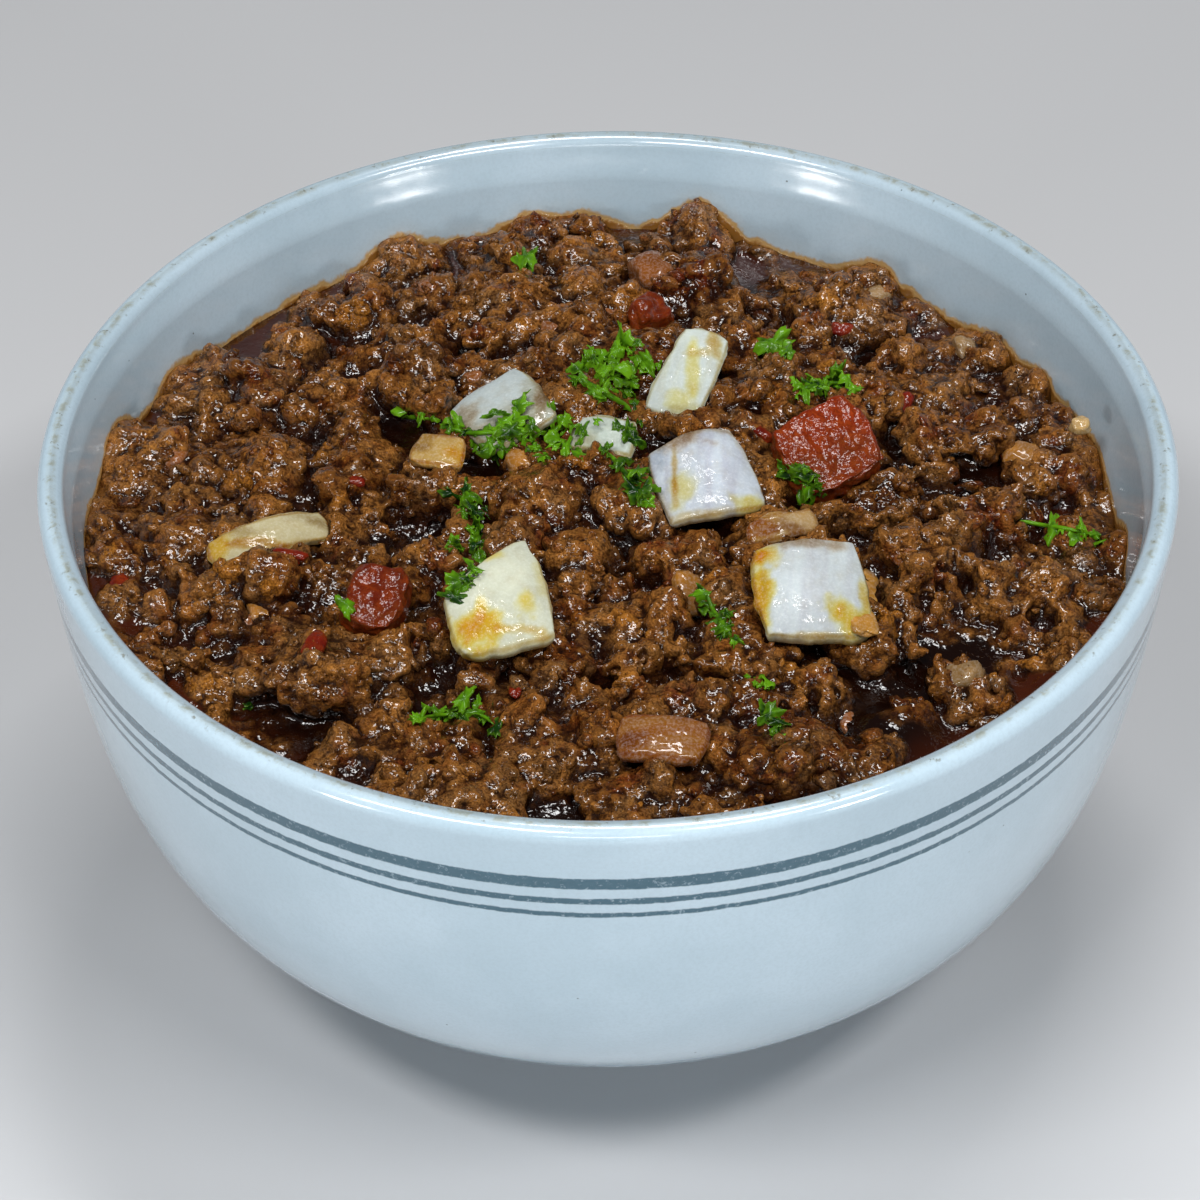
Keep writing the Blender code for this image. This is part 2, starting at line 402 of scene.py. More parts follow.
def resample(points, spacing):
    """Points along a polyline, closer together on the lip."""
    runs = np.hypot(*np.diff(points, axis=0).T)
    length = np.concatenate([[0.0], np.cumsum(runs)])
    near_lip = np.exp(-((points[:, 1] - RIM_HEIGHT) / (3.0 * MM)) ** 2)
    density = 1.0 + 2.2 * near_lip
    along = np.concatenate([[0.0], np.cumsum(runs * 0.5 * (density[1:] + density[:-1]))])
    count = int(along[-1] / spacing)
    stations = np.interp(np.linspace(0.0, along[-1], count), along, length)
    return np.stack([np.interp(stations, length, points[:, axis]) for axis in (0, 1)], axis=1)


PROFILE = resample(curve_through(bowl_chain(), 8), PROFILE_SPACING)
LIP_INDEX = int(np.argmax(PROFILE[:, 1]))
LIP_RADIUS = PROFILE[LIP_INDEX, 0]


def inner_radius(height):
    """Radius of the bowl's inside at a height."""
    inside = PROFILE[:LIP_INDEX + 1]
    return np.interp(height, inside[:, 1], inside[:, 0])


def glaze_bands(shader, depth):
    """Where the speckled bands lie, with edges that wander a little."""
    wobble = shader.times(shader.minus(shader.noise(2.2, 3.0, 0.7), 0.5), BAND_WOBBLE)
    ragged = shader.plus(depth, wobble)
    bands = None
    for low, high in BANDS:
        rise = shader.ramp(ragged, low - BAND_EDGE, low + BAND_EDGE)
        fall = shader.ramp(ragged, high - BAND_EDGE, high + BAND_EDGE, 1.0, 0.0)
        band = shader.times(rise, fall)
        bands = band if bands is None else shader.most(bands, band)
    fleck = shader.ramp(shader.noise(0.8, 3.0, 0.8), 0.30, 0.46, 0.6, 1.0)
    return shader.times(shader.times(bands, shader.attribute("outside")), fleck)


def bowl_material():
    """Pale glaze with bands, a worn lip, and an ochre line of oil where the chili meets the wall; the inside
    is painted darker as shade.
    """
    shader = Shader("glazed_stoneware")
    inside = shader.minus(1.0, shader.attribute("outside"))
    crest = shader.math("ABSOLUTE", shader.attribute("crest"))
    height = shader.height()
    depth = shader.minus(RIM_HEIGHT, height)

    cloud = shader.ramp(shader.noise(26.0, 4.0), 0.3, 0.7)
    grain = shader.ramp(shader.noise(0.5, 2.0, 0.7), 0.35, 0.75, 0.0, 0.22)
    pepper = shader.ramp(shader.dots(7.0), 0.016, 0.028, 0.75, 0.0)
    band_colour = shader.mix(shader.noise(1.1, 3.0, 0.8), srgb(36, 80, 98), srgb(64, 102, 120))

    worn = shader.ramp(shader.noise(2.4, 4.0, 0.75), 0.42, 0.66)
    line = shader.ramp(crest, 0.15 * MM, 0.95 * MM, 0.8, 0.0)
    line = shader.times(line, shader.ramp(worn, 0.0, 1.0, 0.28, 1.0))
    spots = shader.ramp(shader.noise(1.3, 3.0, 0.7), 0.60, 0.70)
    spots = shader.times(spots, shader.ramp(crest, 0.4 * MM, 1.3 * MM, 0.7, 0.0))

    creep = shader.times(shader.minus(shader.noise(3.0, 3.0, 0.65), 0.5), 2.6 * MM)
    above = shader.minus(shader.minus(height, shader.attribute("contact")), creep)
    halo = shader.times(shader.ramp(above, 0.25 * MM, 0.9 * MM, 1.0, 0.0), inside)
    crust = shader.times(shader.ramp(above, -0.5 * MM, 0.25 * MM, 1.0, 0.0), inside)
    mist = shader.times(shader.ramp(above, 0.6 * MM, 3.5 * MM, 0.10, 0.0), inside)

    glaze = shader.coats(
        shader.mix(cloud, srgb(180, 202, 215), srgb(193, 214, 227)),
        (grain, (160, 178, 190)),
        (pepper, (70, 74, 70)),
        (glaze_bands(shader, depth), band_colour),
        (line, (146, 150, 134)),
        (spots, (112, 108, 90)),
        # painted shade: the whole inside is multiplied darker than the same glaze outside
        (inside, (233, 232, 232), "MULTIPLY"),
        (shader.times(halo, 0.85), (178, 132, 38)),
        (crust, (128, 78, 16)),
        (mist, (160, 140, 96)),
    )
    hollow = shader.times(shader.ramp(depth, 0.6 * MM, 6.6 * MM), inside)
    skin = shader.bump(shader.noise(9.0, 2.0), 0.16, 0.6)
    skin = shader.bump(shader.noise(0.9, 3.0, 0.6), 0.012, 0.5, skin)
    skin = shader.bump(crust, 0.25, 0.7, skin)
    skin = shader.bump(hollow, 1.25, 1.0, skin)
    rough = shader.ramp(shader.noise(4.0, 3.0), 0.3, 0.7, 0.13, 0.22)
    shader.set(Base_Color=glaze, Roughness=shader.plus(rough, shader.times(line, 0.3)), Normal=skin)
    shader.set(Coat_Weight=0.5, Coat_Roughness=0.05, IOR=1.5)
    return shader.material


def build_bowl(contact_angles, contact_heights):
    angles = np.arange(BOWL_STEPS) * 2.0 * math.pi / BOWL_STEPS
    radius = PROFILE[1:-1, 0][:, None]
    height = np.repeat(PROFILE[1:-1, 1][:, None], BOWL_STEPS, axis=1)
    turn = np.repeat(angles[None, :], len(radius), axis=0)
    ring = np.stack([np.cos(turn) * radius, np.sin(turn) * radius, height], axis=-1).reshape(-1, 3)
    high = smooth_step(ring[:, 2], 12.0 * MM, 40.0 * MM)
    wave = WALL_WAVE * value_noise(ring * np.array([1.0, 1.0, 0.5]), 42.0 * MM) * high
    ring[:, 0] += np.cos(turn.ravel()) * wave
    ring[:, 1] += np.sin(turn.ravel()) * wave
    rows = len(radius)
    verts = np.vstack([ring, [[0.0, 0.0, PROFILE[0, 1]], [0.0, 0.0, PROFILE[-1, 1]]]])
    index = np.arange(rows * BOWL_STEPS).reshape(rows, BOWL_STEPS)
    following = np.roll(index, -1, axis=1)
    quads = np.stack([index[:-1], following[:-1], following[1:], index[1:]], axis=-1).reshape(-1, 4)
    top, bottom = rows * BOWL_STEPS, rows * BOWL_STEPS + 1
    triangles = [(top, b, a) for a, b in zip(index[0], following[0])]
    triangles += [(bottom, a, b) for a, b in zip(index[-1], following[-1])]
    mesh = bpy.data.meshes.new("bowl_looks")
    mesh.from_pydata(verts.tolist(), [], [face[::-1] for face in quads.tolist() + triangles])
    mesh.validate()
    mesh.shade_smooth()
    station = np.concatenate([np.repeat(np.arange(1, rows + 1), BOWL_STEPS), [0, rows + 1]])
    outside = (station > LIP_INDEX).astype(float)
    across = np.hypot(verts[:, 0], verts[:, 1]) - LIP_RADIUS
    crest = np.where(verts[:, 2] > RIM_HEIGHT - 1.4 * MM, across, 9.0 * MM)
    azimuth = np.arctan2(verts[:, 1], verts[:, 0])
    contact = np.interp(azimuth, contact_angles, contact_heights, period=2.0 * math.pi)
    set_attributes(mesh, outside=outside, crest=crest, contact=contact)
    return add_piece("bowl_glazed", mesh, bowl_material(), ["bowl"])


# ---------------------------------------------------------------- the chili's field of lumps

VOXEL = 0.43 * MM
COARSE = 1.5 * MM
FIELD_LOW = RIM_HEIGHT - 25.0 * MM
FIELD_HIGH = RIM_HEIGHT - 4.4 * MM
FIELD_REACH = 71.8 * MM
MINCE_TRIANGLES = 182000

# How sharply lumps blend into each other and into the sauce, and how far a lump is felt
BLEND = 3.8 / MM
SAUCE_BLEND = 1.9 / MM
BLEND_REACH = 1.3 * MM
BLEND_CUT = 1.2 * MM
FAR = 9.0 * MM

# Heights under the smooth ground: meat between the clumps, and sauce. Sauce climbs to a film
# by the wall in front.
MEAT_DROP = 3.6 * MM
SAUCE_DROP = 2.4 * MM
FILM_RISE = 2.1 * MM

# Out to where the mound goes, and where rays start, under and over the rim
MOUND_REACH = 69.0 * MM
RAYS_BELOW = 40.0 * MM
RAYS_ABOVE = 20.0 * MM

# Directions in which the chili's contact with the wall is read, and its own hidden side
CONTACT_BINS = 240
WALL_RINGS = 5
WALL_GAP = 0.3 * MM

# The chili stays under the toppings, and may rise at this slope for some cells round them
TOPPING_CLEARANCE = 1.7 * MM
CAP_SLOPE = 0.75
CAP_ROUNDS = 14

# Clumps of mince, the lumps on them and the grains on those, by radius, and the clumps' spacing
CLUMPS = dict(count=185, spacing=8.6 * MM, low=3.8 * MM, high=9.6 * MM)
LUMPS = dict(low=1.2 * MM, high=2.9 * MM)
GRAINS = dict(low=0.40 * MM, high=0.85 * MM)
SUNKEN_GRAINS = 1500

# Deep wet pits: x, y, radius, depth under the lumps round them, in millimetres
PITS = (
    (45.5, -20.5, 7.4, 4.0),
    (51.0, -27.0, 4.2, 3.0),
    (48.0, 10.5, 5.2, 4.6),
    (44.0, 2.5, 2.8, 4.2),
    (54.0, -2.5, 4.4, 4.4),
    (62.5, 9.0, 3.6, 4.0),
    (32.5, -2.0, 3.6, 4.6),
    (-25.4, -0.5, 4.8, 5.2),
    (-1.2, -31.0, 3.1, 6.0),
    (6.8, -31.0, 2.9, 6.0),
    (13.8, -33.0, 2.6, 4.6),
    (0.6, -10.5, 2.0, 5.4),
    (5.5, -12.5, 1.6, 4.2),
    (29.0, -38.0, 2.8, 4.0),
    (-22.0, -29.5, 3.0, 3.8),
    (38.5, 14.0, 2.4, 4.4),
    (-33.5, -47.5, 4.0, 2.8),
    (-60.5, -11.0, 3.2, 2.8),
    (-28.0, 45.0, 3.6, 3.0),
    (-14.0, 36.0, 3.0, 3.2),
    (-36.0, 34.0, 3.2, 3.0),
    (22.0, 47.0, 3.0, 2.8),
    (57.5, -16.5, 2.6, 3.4),
    (35.5, -8.5, 2.2, 3.2),
)

# Pools of dark sauce lying level: x, y, radius, level over the sauce round them
POOLS = (
    (45.5, -22.0, 8.0, 0.6),
    (48.5, 10.5, 5.5, 0.2),
    (61.0, 9.0, 5.0, 0.5),
    (-33.0, -48.0, 8.0, 0.8),
    (-49.5, 15.5, 7.0, 1.9),
    (36.5, -39.0, 6.0, 1.8),
    (-60.5, -12.0, 5.0, 1.0),
    (-54.0, -37.0, 7.0, 1.2),
)


class Grid:
    """The voxel grid that the chili's surface is found on."""

    def __init__(self):
        self.xy = np.arange(-FIELD_REACH, FIELD_REACH + VOXEL, VOXEL)
        self.z = np.arange(FIELD_LOW, FIELD_HIGH, VOXEL)
        self.shape = (len(self.xy), len(self.xy), len(self.z))
        self.weight = np.zeros(self.shape, np.float32)
        self.tone = np.zeros(self.shape, np.float32)
        self.hue = np.zeros(self.shape, np.float32)
        self.warp = [self.slow_noise(SEED + axis, 3.2 * MM) * 0.7 * MM
                     + self.slow_noise(SEED + 9 + axis, 1.4 * MM) * 0.40 * MM for axis in range(3)]

    def slow_noise(self, seed, cell):
        """Random knots, one to a cell, read smoothly over the whole grid."""
        counts = [int((axis[-1] - axis[0]) / cell) + 4 for axis in (self.xy, self.xy, self.z)]
        knots = np.random.default_rng(seed).normal(size=counts).astype(np.float32)
        for number, axis in enumerate((self.xy, self.xy, self.z)):
            matrix = spline_weights(counts[number], (axis - axis[0]) / cell + 1.0)
            knots = np.moveaxis(np.tensordot(matrix, knots, axes=(1, number)), 0, number)
        return knots * 1.6

    def window(self, centre, reach):
        """Slices of the grid that hold a ball."""
        spans = []
        for value, axis in zip(centre, (self.xy, self.xy, self.z)):
            low = int(np.searchsorted(axis, value - reach))
            high = int(np.searchsorted(axis, value + reach))
            spans.append(slice(low, high))
        return tuple(spans)

    def add(self, centre, radii, turn, tone, hue, warped):
        """Adds one ellipsoid of meat to the smooth union."""
        reach = max(radii) + BLEND_REACH
        window = self.window(centre, reach)
        dx = (self.xy[window[0]] - centre[0])[:, None, None]
        dy = (self.xy[window[1]] - centre[1])[None, :, None]
        dz = (self.z[window[2]] - centre[2])[None, None, :]
        if dx.size == 0 or dy.size == 0 or dz.size == 0:
            return
        if warped:
            dx = dx + self.warp[0][window]
            dy = dy + self.warp[1][window]
            dz = dz + self.warp[2][window]
        square = 0.0
        for row, radius in zip(turn, radii):
            square = square + ((row[0] * dx + row[1] * dy + row[2] * dz) / radius) ** 2
        distance = (np.sqrt(square) - 1.0) * (sum(radii) / 3.0)
        weight = np.exp(-BLEND * np.maximum(distance, -FAR)).astype(np.float32)
        weight *= distance < BLEND_CUT
        self.weight[window] += weight
        self.tone[window] += weight * tone
        self.hue[window] += weight * hue


def random_place(rng):
    """A place on the mound, evenly spread."""
    radius = math.sqrt(rng.random()) * MOUND_REACH
    angle = rng.uniform(0.0, 2.0 * math.pi)
    return radius * math.cos(angle), radius * math.sin(angle)


def random_way(rng, down):
    """A direction that mostly points up."""
    way = rng.normal(size=3)
    way[2] = abs(way[2]) - down
    return way / np.linalg.norm(way)


def random_turn(rng):
    axis = rng.normal(size=3)
    turn = Matrix.Rotation(rng.uniform(0.0, 2.0 * math.pi), 3, Vector(axis).normalized())
    return np.array(turn)


def cast_heights(axis_x, axis_y, tree, upwards=False):
    """Height of the first surface met along Z at each crossing of the axes, nan where none."""
    heights = np.full((len(axis_x), len(axis_y)), np.nan)
    start = RIM_HEIGHT - RAYS_BELOW if upwards else RIM_HEIGHT + RAYS_ABOVE
    way = Vector((0.0, 0.0, 1.0 if upwards else -1.0))
    for row, x in enumerate(axis_x):
        for column, y in enumerate(axis_y):
            hit = tree.ray_cast(Vector((x, y, start)), way)[0]
            if hit is not None:
                heights[row, column] = hit.z
    return heights


def neighbours(padded):
    """The four neighbours of each cell of a map that has a border added."""
    return [padded[2:, 1:-1], padded[:-2, 1:-1], padded[1:-1, 2:], padded[1:-1, :-2]]


def fill_gaps(heights, unknown, rounds=160):
    """Spreads the known heights into the unknown cells."""
    filled = np.where(unknown, np.nanmean(heights[~unknown]), heights)
    for _ in range(rounds):
        filled = np.where(unknown, 0.25 * sum(neighbours(np.pad(filled, 1, mode="edge"))), filled)
    return filled


def blur(values, spread):
    """Gaussian blur of a square map, spread in cells."""
    reach = int(3 * spread) + 1
    kernel = np.exp(-0.5 * (np.arange(-reach, reach + 1) / spread) ** 2)
    kernel /= kernel.sum()
    for axis in (0, 1):
        padded = np.pad(values, [(reach, reach) if a == axis else (0, 0) for a in (0, 1)], mode="edge")
        values = sum(weight * np.take(padded, range(i, i + values.shape[axis]), axis=axis)
                     for i, weight in enumerate(kernel))
    return values


def read_map(values, axis, x, y):
    """Bilinear reading of a square map at points."""
    step = axis[1] - axis[0]
    u = np.clip((np.asarray(x) - axis[0]) / step, 0, len(axis) - 1.001)
    v = np.clip((np.asarray(y) - axis[0]) / step, 0, len(axis) - 1.001)
    i, j = u.astype(int), v.astype(int)
    a, b = u - i, v - j
    return ((1 - a) * (1 - b) * values[i, j] + a * (1 - b) * values[i + 1, j]
            + (1 - a) * b * values[i, j + 1] + a * b * values[i + 1, j + 1])


class Terrain:
    """Smooth ground under the lumps, read from the CAD chili, with the toppings' places."""

    def __init__(self):
        self.axis = np.arange(-FIELD_REACH, FIELD_REACH + COARSE, COARSE)
        toppings = cad_tree(ONION_NAMES + TOMATO_NAMES)
        chili = cad_tree(["chili"])
        ground = cast_heights(self.axis, self.axis, chili)
        under = cast_heights(self.axis, self.axis, toppings, upwards=True)
        taken = ~np.isnan(under)
        spread = taken.copy()
        for shift in ((1, 0), (-1, 0), (0, 1), (0, -1)):
            spread |= np.roll(taken, shift, (0, 1))
        radius = np.hypot(self.axis[:, None], self.axis[None, :])
        unknown = spread | np.isnan(ground) | (radius > 68.0 * MM)
        ground = fill_gaps(ground, unknown)
        cap = np.where(taken, under + TOPPING_CLEARANCE, np.inf)
        for _ in range(CAP_ROUNDS):
            near = np.minimum.reduce(neighbours(np.pad(cap, 1, constant_values=np.inf)))
            cap = np.minimum(cap, near + CAP_SLOPE * COARSE)
        self.cap = np.where(np.isinf(cap), RIM_HEIGHT, cap)
        self.slow = blur(ground, 9.0)
        ground = 0.85 * ground + 0.15 * self.slow
        for x, y, size, depth in PITS:
            distance = spot_distance(self.axis[:, None], self.axis[None, :], x, y, size)
            ground = ground - 0.45 * depth * MM * (1.0 - smooth_step(distance, 0.2, 1.2))
        self.ground = np.minimum(ground, self.cap)

    def height(self, x, y):
        """The smooth ground."""
        return read_map(self.ground, self.axis, x, y)

    def limit(self, x, y):
        """How high the chili may reach under and round the toppings."""
        return read_map(self.cap, self.axis, x, y)

    def slow_height(self, x, y):
        """The ground blurred, which the sauce's level follows."""
        return read_map(self.slow, self.axis, x, y)


def spot_distance(x, y, spot_x, spot_y, size):
    """Distance from a place given in millimetres, in shares of its size."""
    return np.hypot(x - spot_x * MM, y - spot_y * MM) / (size * MM)


def pit_share(x, y):
    """1 in the middle of a pit, 0 outside every pit."""
    share = np.zeros(np.shape(x))
    for pit_x, pit_y, size, _ in PITS:
        distance = spot_distance(x, y, pit_x, pit_y, size)
        share = np.maximum(share, 1.0 - smooth_step(distance, 0.35, 1.15))
    return share


def scatter_clumps(rng, terrain):
    """Centres of the big clumps, kept apart, with their radii."""
    clumps = []
    tries = 0
    while len(clumps) < CLUMPS["count"] and tries < 40000:
        tries += 1
        x, y = random_place(rng)
        size = CLUMPS["low"] + (CLUMPS["high"] - CLUMPS["low"]) * rng.random() ** 1.5
        gap = 0.5 * (CLUMPS["spacing"] + size)
        if pit_share(x, y) > 0.25:
            continue
        if all(math.hypot(x - other[0], y - other[1]) > gap * 0.5 + 0.55 * other[3] for other in clumps):
            ground = float(terrain.height(x, y))
            clumps.append((x, y, ground, size))
    return clumps


def grow_lumps(grid, terrain):
    """Fills the grid with clumps, the lumps on them, and the grains on those."""
    rng = np.random.default_rng(SEED)

    def place(centre, radii, tone, hue, warped, turn=None):
        top = centre[2] + max(radii) * 0.9
        limit = float(terrain.limit(centre[0], centre[1]))
        if top > limit:
            centre = (centre[0], centre[1], centre[2] - (top - limit))
        wall = inner_radius(centre[2]) - 0.35 * min(radii)
        radius = math.hypot(centre[0], centre[1])
        if radius > wall:
            centre = (centre[0] * wall / radius, centre[1] * wall / radius, centre[2])
        grid.add(centre, radii, random_turn(rng) if turn is None else turn, tone, hue, warped)
        return centre

    for x, y, ground, size in scatter_clumps(rng, terrain):
        edge = smooth_step(math.hypot(x, y), 56.0 * MM, MOUND_REACH)
        edge = edge * (1.0 - smooth_step(y, 10.0 * MM, 30.0 * MM))
        radii = size * rng.uniform(0.75, 1.15, 3) * np.array([1.0, 1.0, 0.72])
        tilt = np.array(Matrix.Rotation(rng.uniform(0.0, math.pi), 3, "Z"))
        middle = (x, y, ground - (0.42 + 0.18 * edge) * size + rng.normal(0.0, 0.8) * MM)
        clump_tone = rng.normal(0.0, 0.45)
        clump_hue = rng.normal(0.0, 0.50)
        middle = place(middle, radii, clump_tone, clump_hue, True, tilt)
        for _ in range(int(6 + 1.2 * size / MM)):
            way = random_way(rng, 0.25)
            lump = rng.uniform(LUMPS["low"], LUMPS["high"]) * (0.75 + 0.05 * size / MM)
            spot = np.array(middle) + (tilt.T @ (way * radii)) * rng.uniform(0.66, 0.92)
            lump_radii = lump * rng.uniform(0.7, 1.25, 3)
            lump_tone = clump_tone + rng.normal(0.0, 0.32)
            lump_hue = clump_hue + rng.normal(0.0, 0.45)
            if rng.random() < 0.07:
                lump_hue += 2.2
                lump_tone += 0.5
            spot = place(tuple(spot), lump_radii, lump_tone, lump_hue, True)
            for _ in range(int(rng.integers(3, 7))):
                way = random_way(rng, 0.2)
                grain = rng.uniform(GRAINS["low"], GRAINS["high"])
                grain_spot = np.array(spot) + way * lump_radii * rng.uniform(0.78, 1.0)
                grain_radii = grain * rng.uniform(0.6, 1.5, 3)
                place(tuple(grain_spot), grain_radii, lump_tone + rng.normal(0.0, 0.25),
                      lump_hue + rng.normal(0.0, 0.3), True)
    for _ in range(SUNKEN_GRAINS):
        x, y = random_place(rng)
        grain = rng.uniform(0.5, 1.5) * MM
        height = float(terrain.height(x, y)) - MEAT_DROP + rng.uniform(-0.3, 0.5) * MM
        place((x, y, height), grain * rng.uniform(0.7, 1.3, 3), rng.normal(0.0, 0.4),
              rng.normal(0.0, 0.5), False)


def chili_field(grid, terrain):
    """The signed field (negative inside), the share of sauce in it, and the meat's tone and hue."""
    x = grid.xy[:, None]
    y = grid.xy[None, :]
    flat_x, flat_y = [part.ravel() for part in np.broadcast_arrays(x, y)]
    plan = np.stack([flat_x, flat_y, 0 * flat_x], 1)
    shape = (len(grid.xy), len(grid.xy))
    ground = terrain.height(flat_x, flat_y).reshape(shape)
    ground = ground + 0.5 * MM * value_noise(plan, 3.0 * MM).reshape(shape)
    base = (grid.z[None, None, :] - (ground - MEAT_DROP)[:, :, None]) * 0.85
    weight = grid.weight + np.exp(-BLEND * np.clip(base, -FAR, FAR)).astype(np.float32)
    meat = -np.log(weight) / BLEND

    slow = terrain.slow_height(flat_x, flat_y).reshape(shape)
    level = slow - SAUCE_DROP
    level = level + 0.5 * MM * value_noise(plan, 16.0 * MM, 5.0).reshape(shape)
    azimuth = np.degrees(np.arctan2(y, x)) % 360.0
    front = smooth_step(azimuth, 140.0, 185.0) * (1.0 - smooth_step(azimuth, 345.0, 360.0))
    film = smooth_step(np.hypot(x, y), 58.0 * MM, MOUND_REACH) * np.maximum(front, 0.35)
    level = level + film * FILM_RISE
    for pool_x, pool_y, size, rise in POOLS:
        distance = spot_distance(x, y, pool_x, pool_y, size)
        level = level + rise * MM * (1.0 - smooth_step(distance, 0.5, 1.3))
    ragged = layered_noise(plan, 4.0 * MM, 3, 8.0).reshape(shape)
    for pit_x, pit_y, size, depth in PITS:
        away = spot_distance(x, y, pit_x, pit_y, size) * (1.0 + 0.55 * ragged)
        near = away < 1.3
        bottom = slow + 0.8 * MM - depth * MM * (1.0 - np.minimum(away, 1.3) ** 2.5)
        cut = grid.z[None, :] - bottom[near][:, None]
        meat[near] = np.maximum(meat[near], cut)
        level = np.where(away < 1.0, np.minimum(level, slow - (depth - 0.9) * MM), level)
    sauce = np.exp(-SAUCE_BLEND * np.clip(grid.z[None, None, :] - level[:, :, None], -FAR, FAR))
    both = np.exp(-SAUCE_BLEND * np.clip(meat, -FAR, FAR)) + sauce
    field = -np.log(both) / SAUCE_BLEND
    return field.astype(np.float32), (sauce / both).astype(np.float32), grid.tone / weight, grid.hue / weight


def carve_toppings(grid, field):
    """Keeps the chili under each topping's underside."""
    for name in ONION_NAMES + TOMATO_NAMES:
        low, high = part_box(name)
        rows = slice(*np.searchsorted(grid.xy, (low.x - VOXEL, high.x + VOXEL)))
        columns = slice(*np.searchsorted(grid.xy, (low.y - VOXEL, high.y + VOXEL)))
        under = cast_heights(grid.xy[rows], grid.xy[columns], cad_tree([name]), upwards=True)
        if under.size == 0:
            continue
        clear = grid.z[None, None, :] - (under - 0.05 * MM)[:, :, None]
        part = field[rows, columns]
        field[rows, columns] = np.where(np.isnan(clear), part, np.maximum(part, clear))


def surface_nets(field, axes):
    """Quads round the zero level of a field: one vertex in each cell that it crosses."""
    shape = np.array(field.shape) - 1
    inside = field < 0.0
    corners = [(i, j, k) for i in (0, 1) for j in (0, 1) for k in (0, 1)]

    def part(array, corner):
        return array[tuple(slice(c, c + n) for c, n in zip(corner, shape))]

    count = sum(part(inside, corner).astype(np.int8) for corner in corners)
    cells = np.argwhere((count > 0) & (count < 8))
    values = np.stack([part(field, corner)[tuple(cells.T)] for corner in corners], axis=1)
    total = np.zeros((len(cells), 3))
    crossings = np.zeros(len(cells))
    for first, a in enumerate(corners):
        for second, b in enumerate(corners):
            if second <= first or sum(abs(p - q) for p, q in zip(a, b)) != 1:
                continue
            va, vb = values[:, first], values[:, second]
            cut = (va < 0) != (vb < 0)
            share = np.where(cut, va / np.where(cut, va - vb, 1.0), 0.0)
            point = np.array(a) + share[:, None] * (np.array(b) - np.array(a))
            total += np.where(cut[:, None], point, 0.0)
            crossings += cut
    local = total / crossings[:, None]
    spot = cells + local
    verts = np.stack([axis[0] + spot[:, n] * (axis[1] - axis[0]) for n, axis in enumerate(axes)], axis=1)
    number = np.full(tuple(shape), -1, np.int64)
    number[tuple(cells.T)] = np.arange(len(cells))
    quads = []
    for axis in range(3):
        u, v = [other for other in range(3) if other != axis]
        near = np.take(inside, range(0, field.shape[axis] - 1), axis=axis)
        far = np.take(inside, range(1, field.shape[axis]), axis=axis)
        crossed = np.argwhere(near != far)
        keep = (crossed[:, u] > 0) & (crossed[:, v] > 0)
        keep &= (crossed[:, u] < shape[u]) & (crossed[:, v] < shape[v])
        crossed = crossed[keep]
        flip = near[tuple(crossed.T)]
        ring = []
        for du, dv in ((1, 1), (0, 1), (0, 0), (1, 0)):
            cell = crossed.copy()
            cell[:, u] -= du
            cell[:, v] -= dv
            ring.append(number[tuple(cell.T)])
        quad = np.stack(ring, axis=1)
        if axis == 1:
            flip = ~flip
        quad[~flip] = quad[~flip][:, ::-1]
        quads.append(quad)
    quads = np.concatenate(quads)
    return verts, quads[(quads >= 0).all(axis=1)]


def trim_to_wall(verts, quads):
    """Drops what is past the wall and sets the edge flush with it."""
    wall = inner_radius(verts[:, 2]) - 0.02 * MM
    radius = np.hypot(verts[:, 0], verts[:, 1])
    outside = radius > wall
    quads = quads[~outside[quads].all(axis=1)]
    scale = np.where(outside, wall / np.maximum(radius, MM), 1.0)
    verts = verts.copy()
    verts[:, :2] *= scale[:, None]
    return verts, quads


def largest_part(verts, quads):
    """Keeps the one connected surface, without loose bubbles."""
    label = np.arange(len(verts))
    edges = np.concatenate([quads[:, [0, 1]], quads[:, [1, 2]], quads[:, [2, 3]], quads[:, [3, 0]]])
    while True:
        low = np.minimum(label[edges[:, 0]], label[edges[:, 1]])
        fresh = label.copy()
        np.minimum.at(fresh, edges[:, 0], low)
        np.minimum.at(fresh, edges[:, 1], low)
        fresh = fresh[fresh]
        if (fresh == label).all():
            break
        label = fresh
    used = label[quads[:, 0]]
    names, counts = np.unique(used, return_counts=True)
    quads = quads[used == names[np.argmax(counts)]]
    kept, renumbered = np.unique(quads, return_inverse=True)
    return verts[kept], renumbered.reshape(-1, 4)


def read_grid(grid, values, points):
    """Trilinear reading of a voxel array."""
    place = [(points[:, n] - axis[0]) / VOXEL for n, axis in enumerate((grid.xy, grid.xy, grid.z))]
    base = [np.clip(p.astype(int), 0, size - 2) for p, size in zip(place, grid.shape)]
    part = [np.clip(p - b, 0.0, 1.0) for p, b in zip(place, base)]
    total = 0.0
    for corner in range(8):
        step = (corner & 1, corner >> 1 & 1, corner >> 2 & 1)
        weight = 1.0
        for share, s in zip(part, step):
            weight = weight * (share if s else 1.0 - share)
        total = total + weight * values[tuple(b + s for b, s in zip(base, step))]
    return total


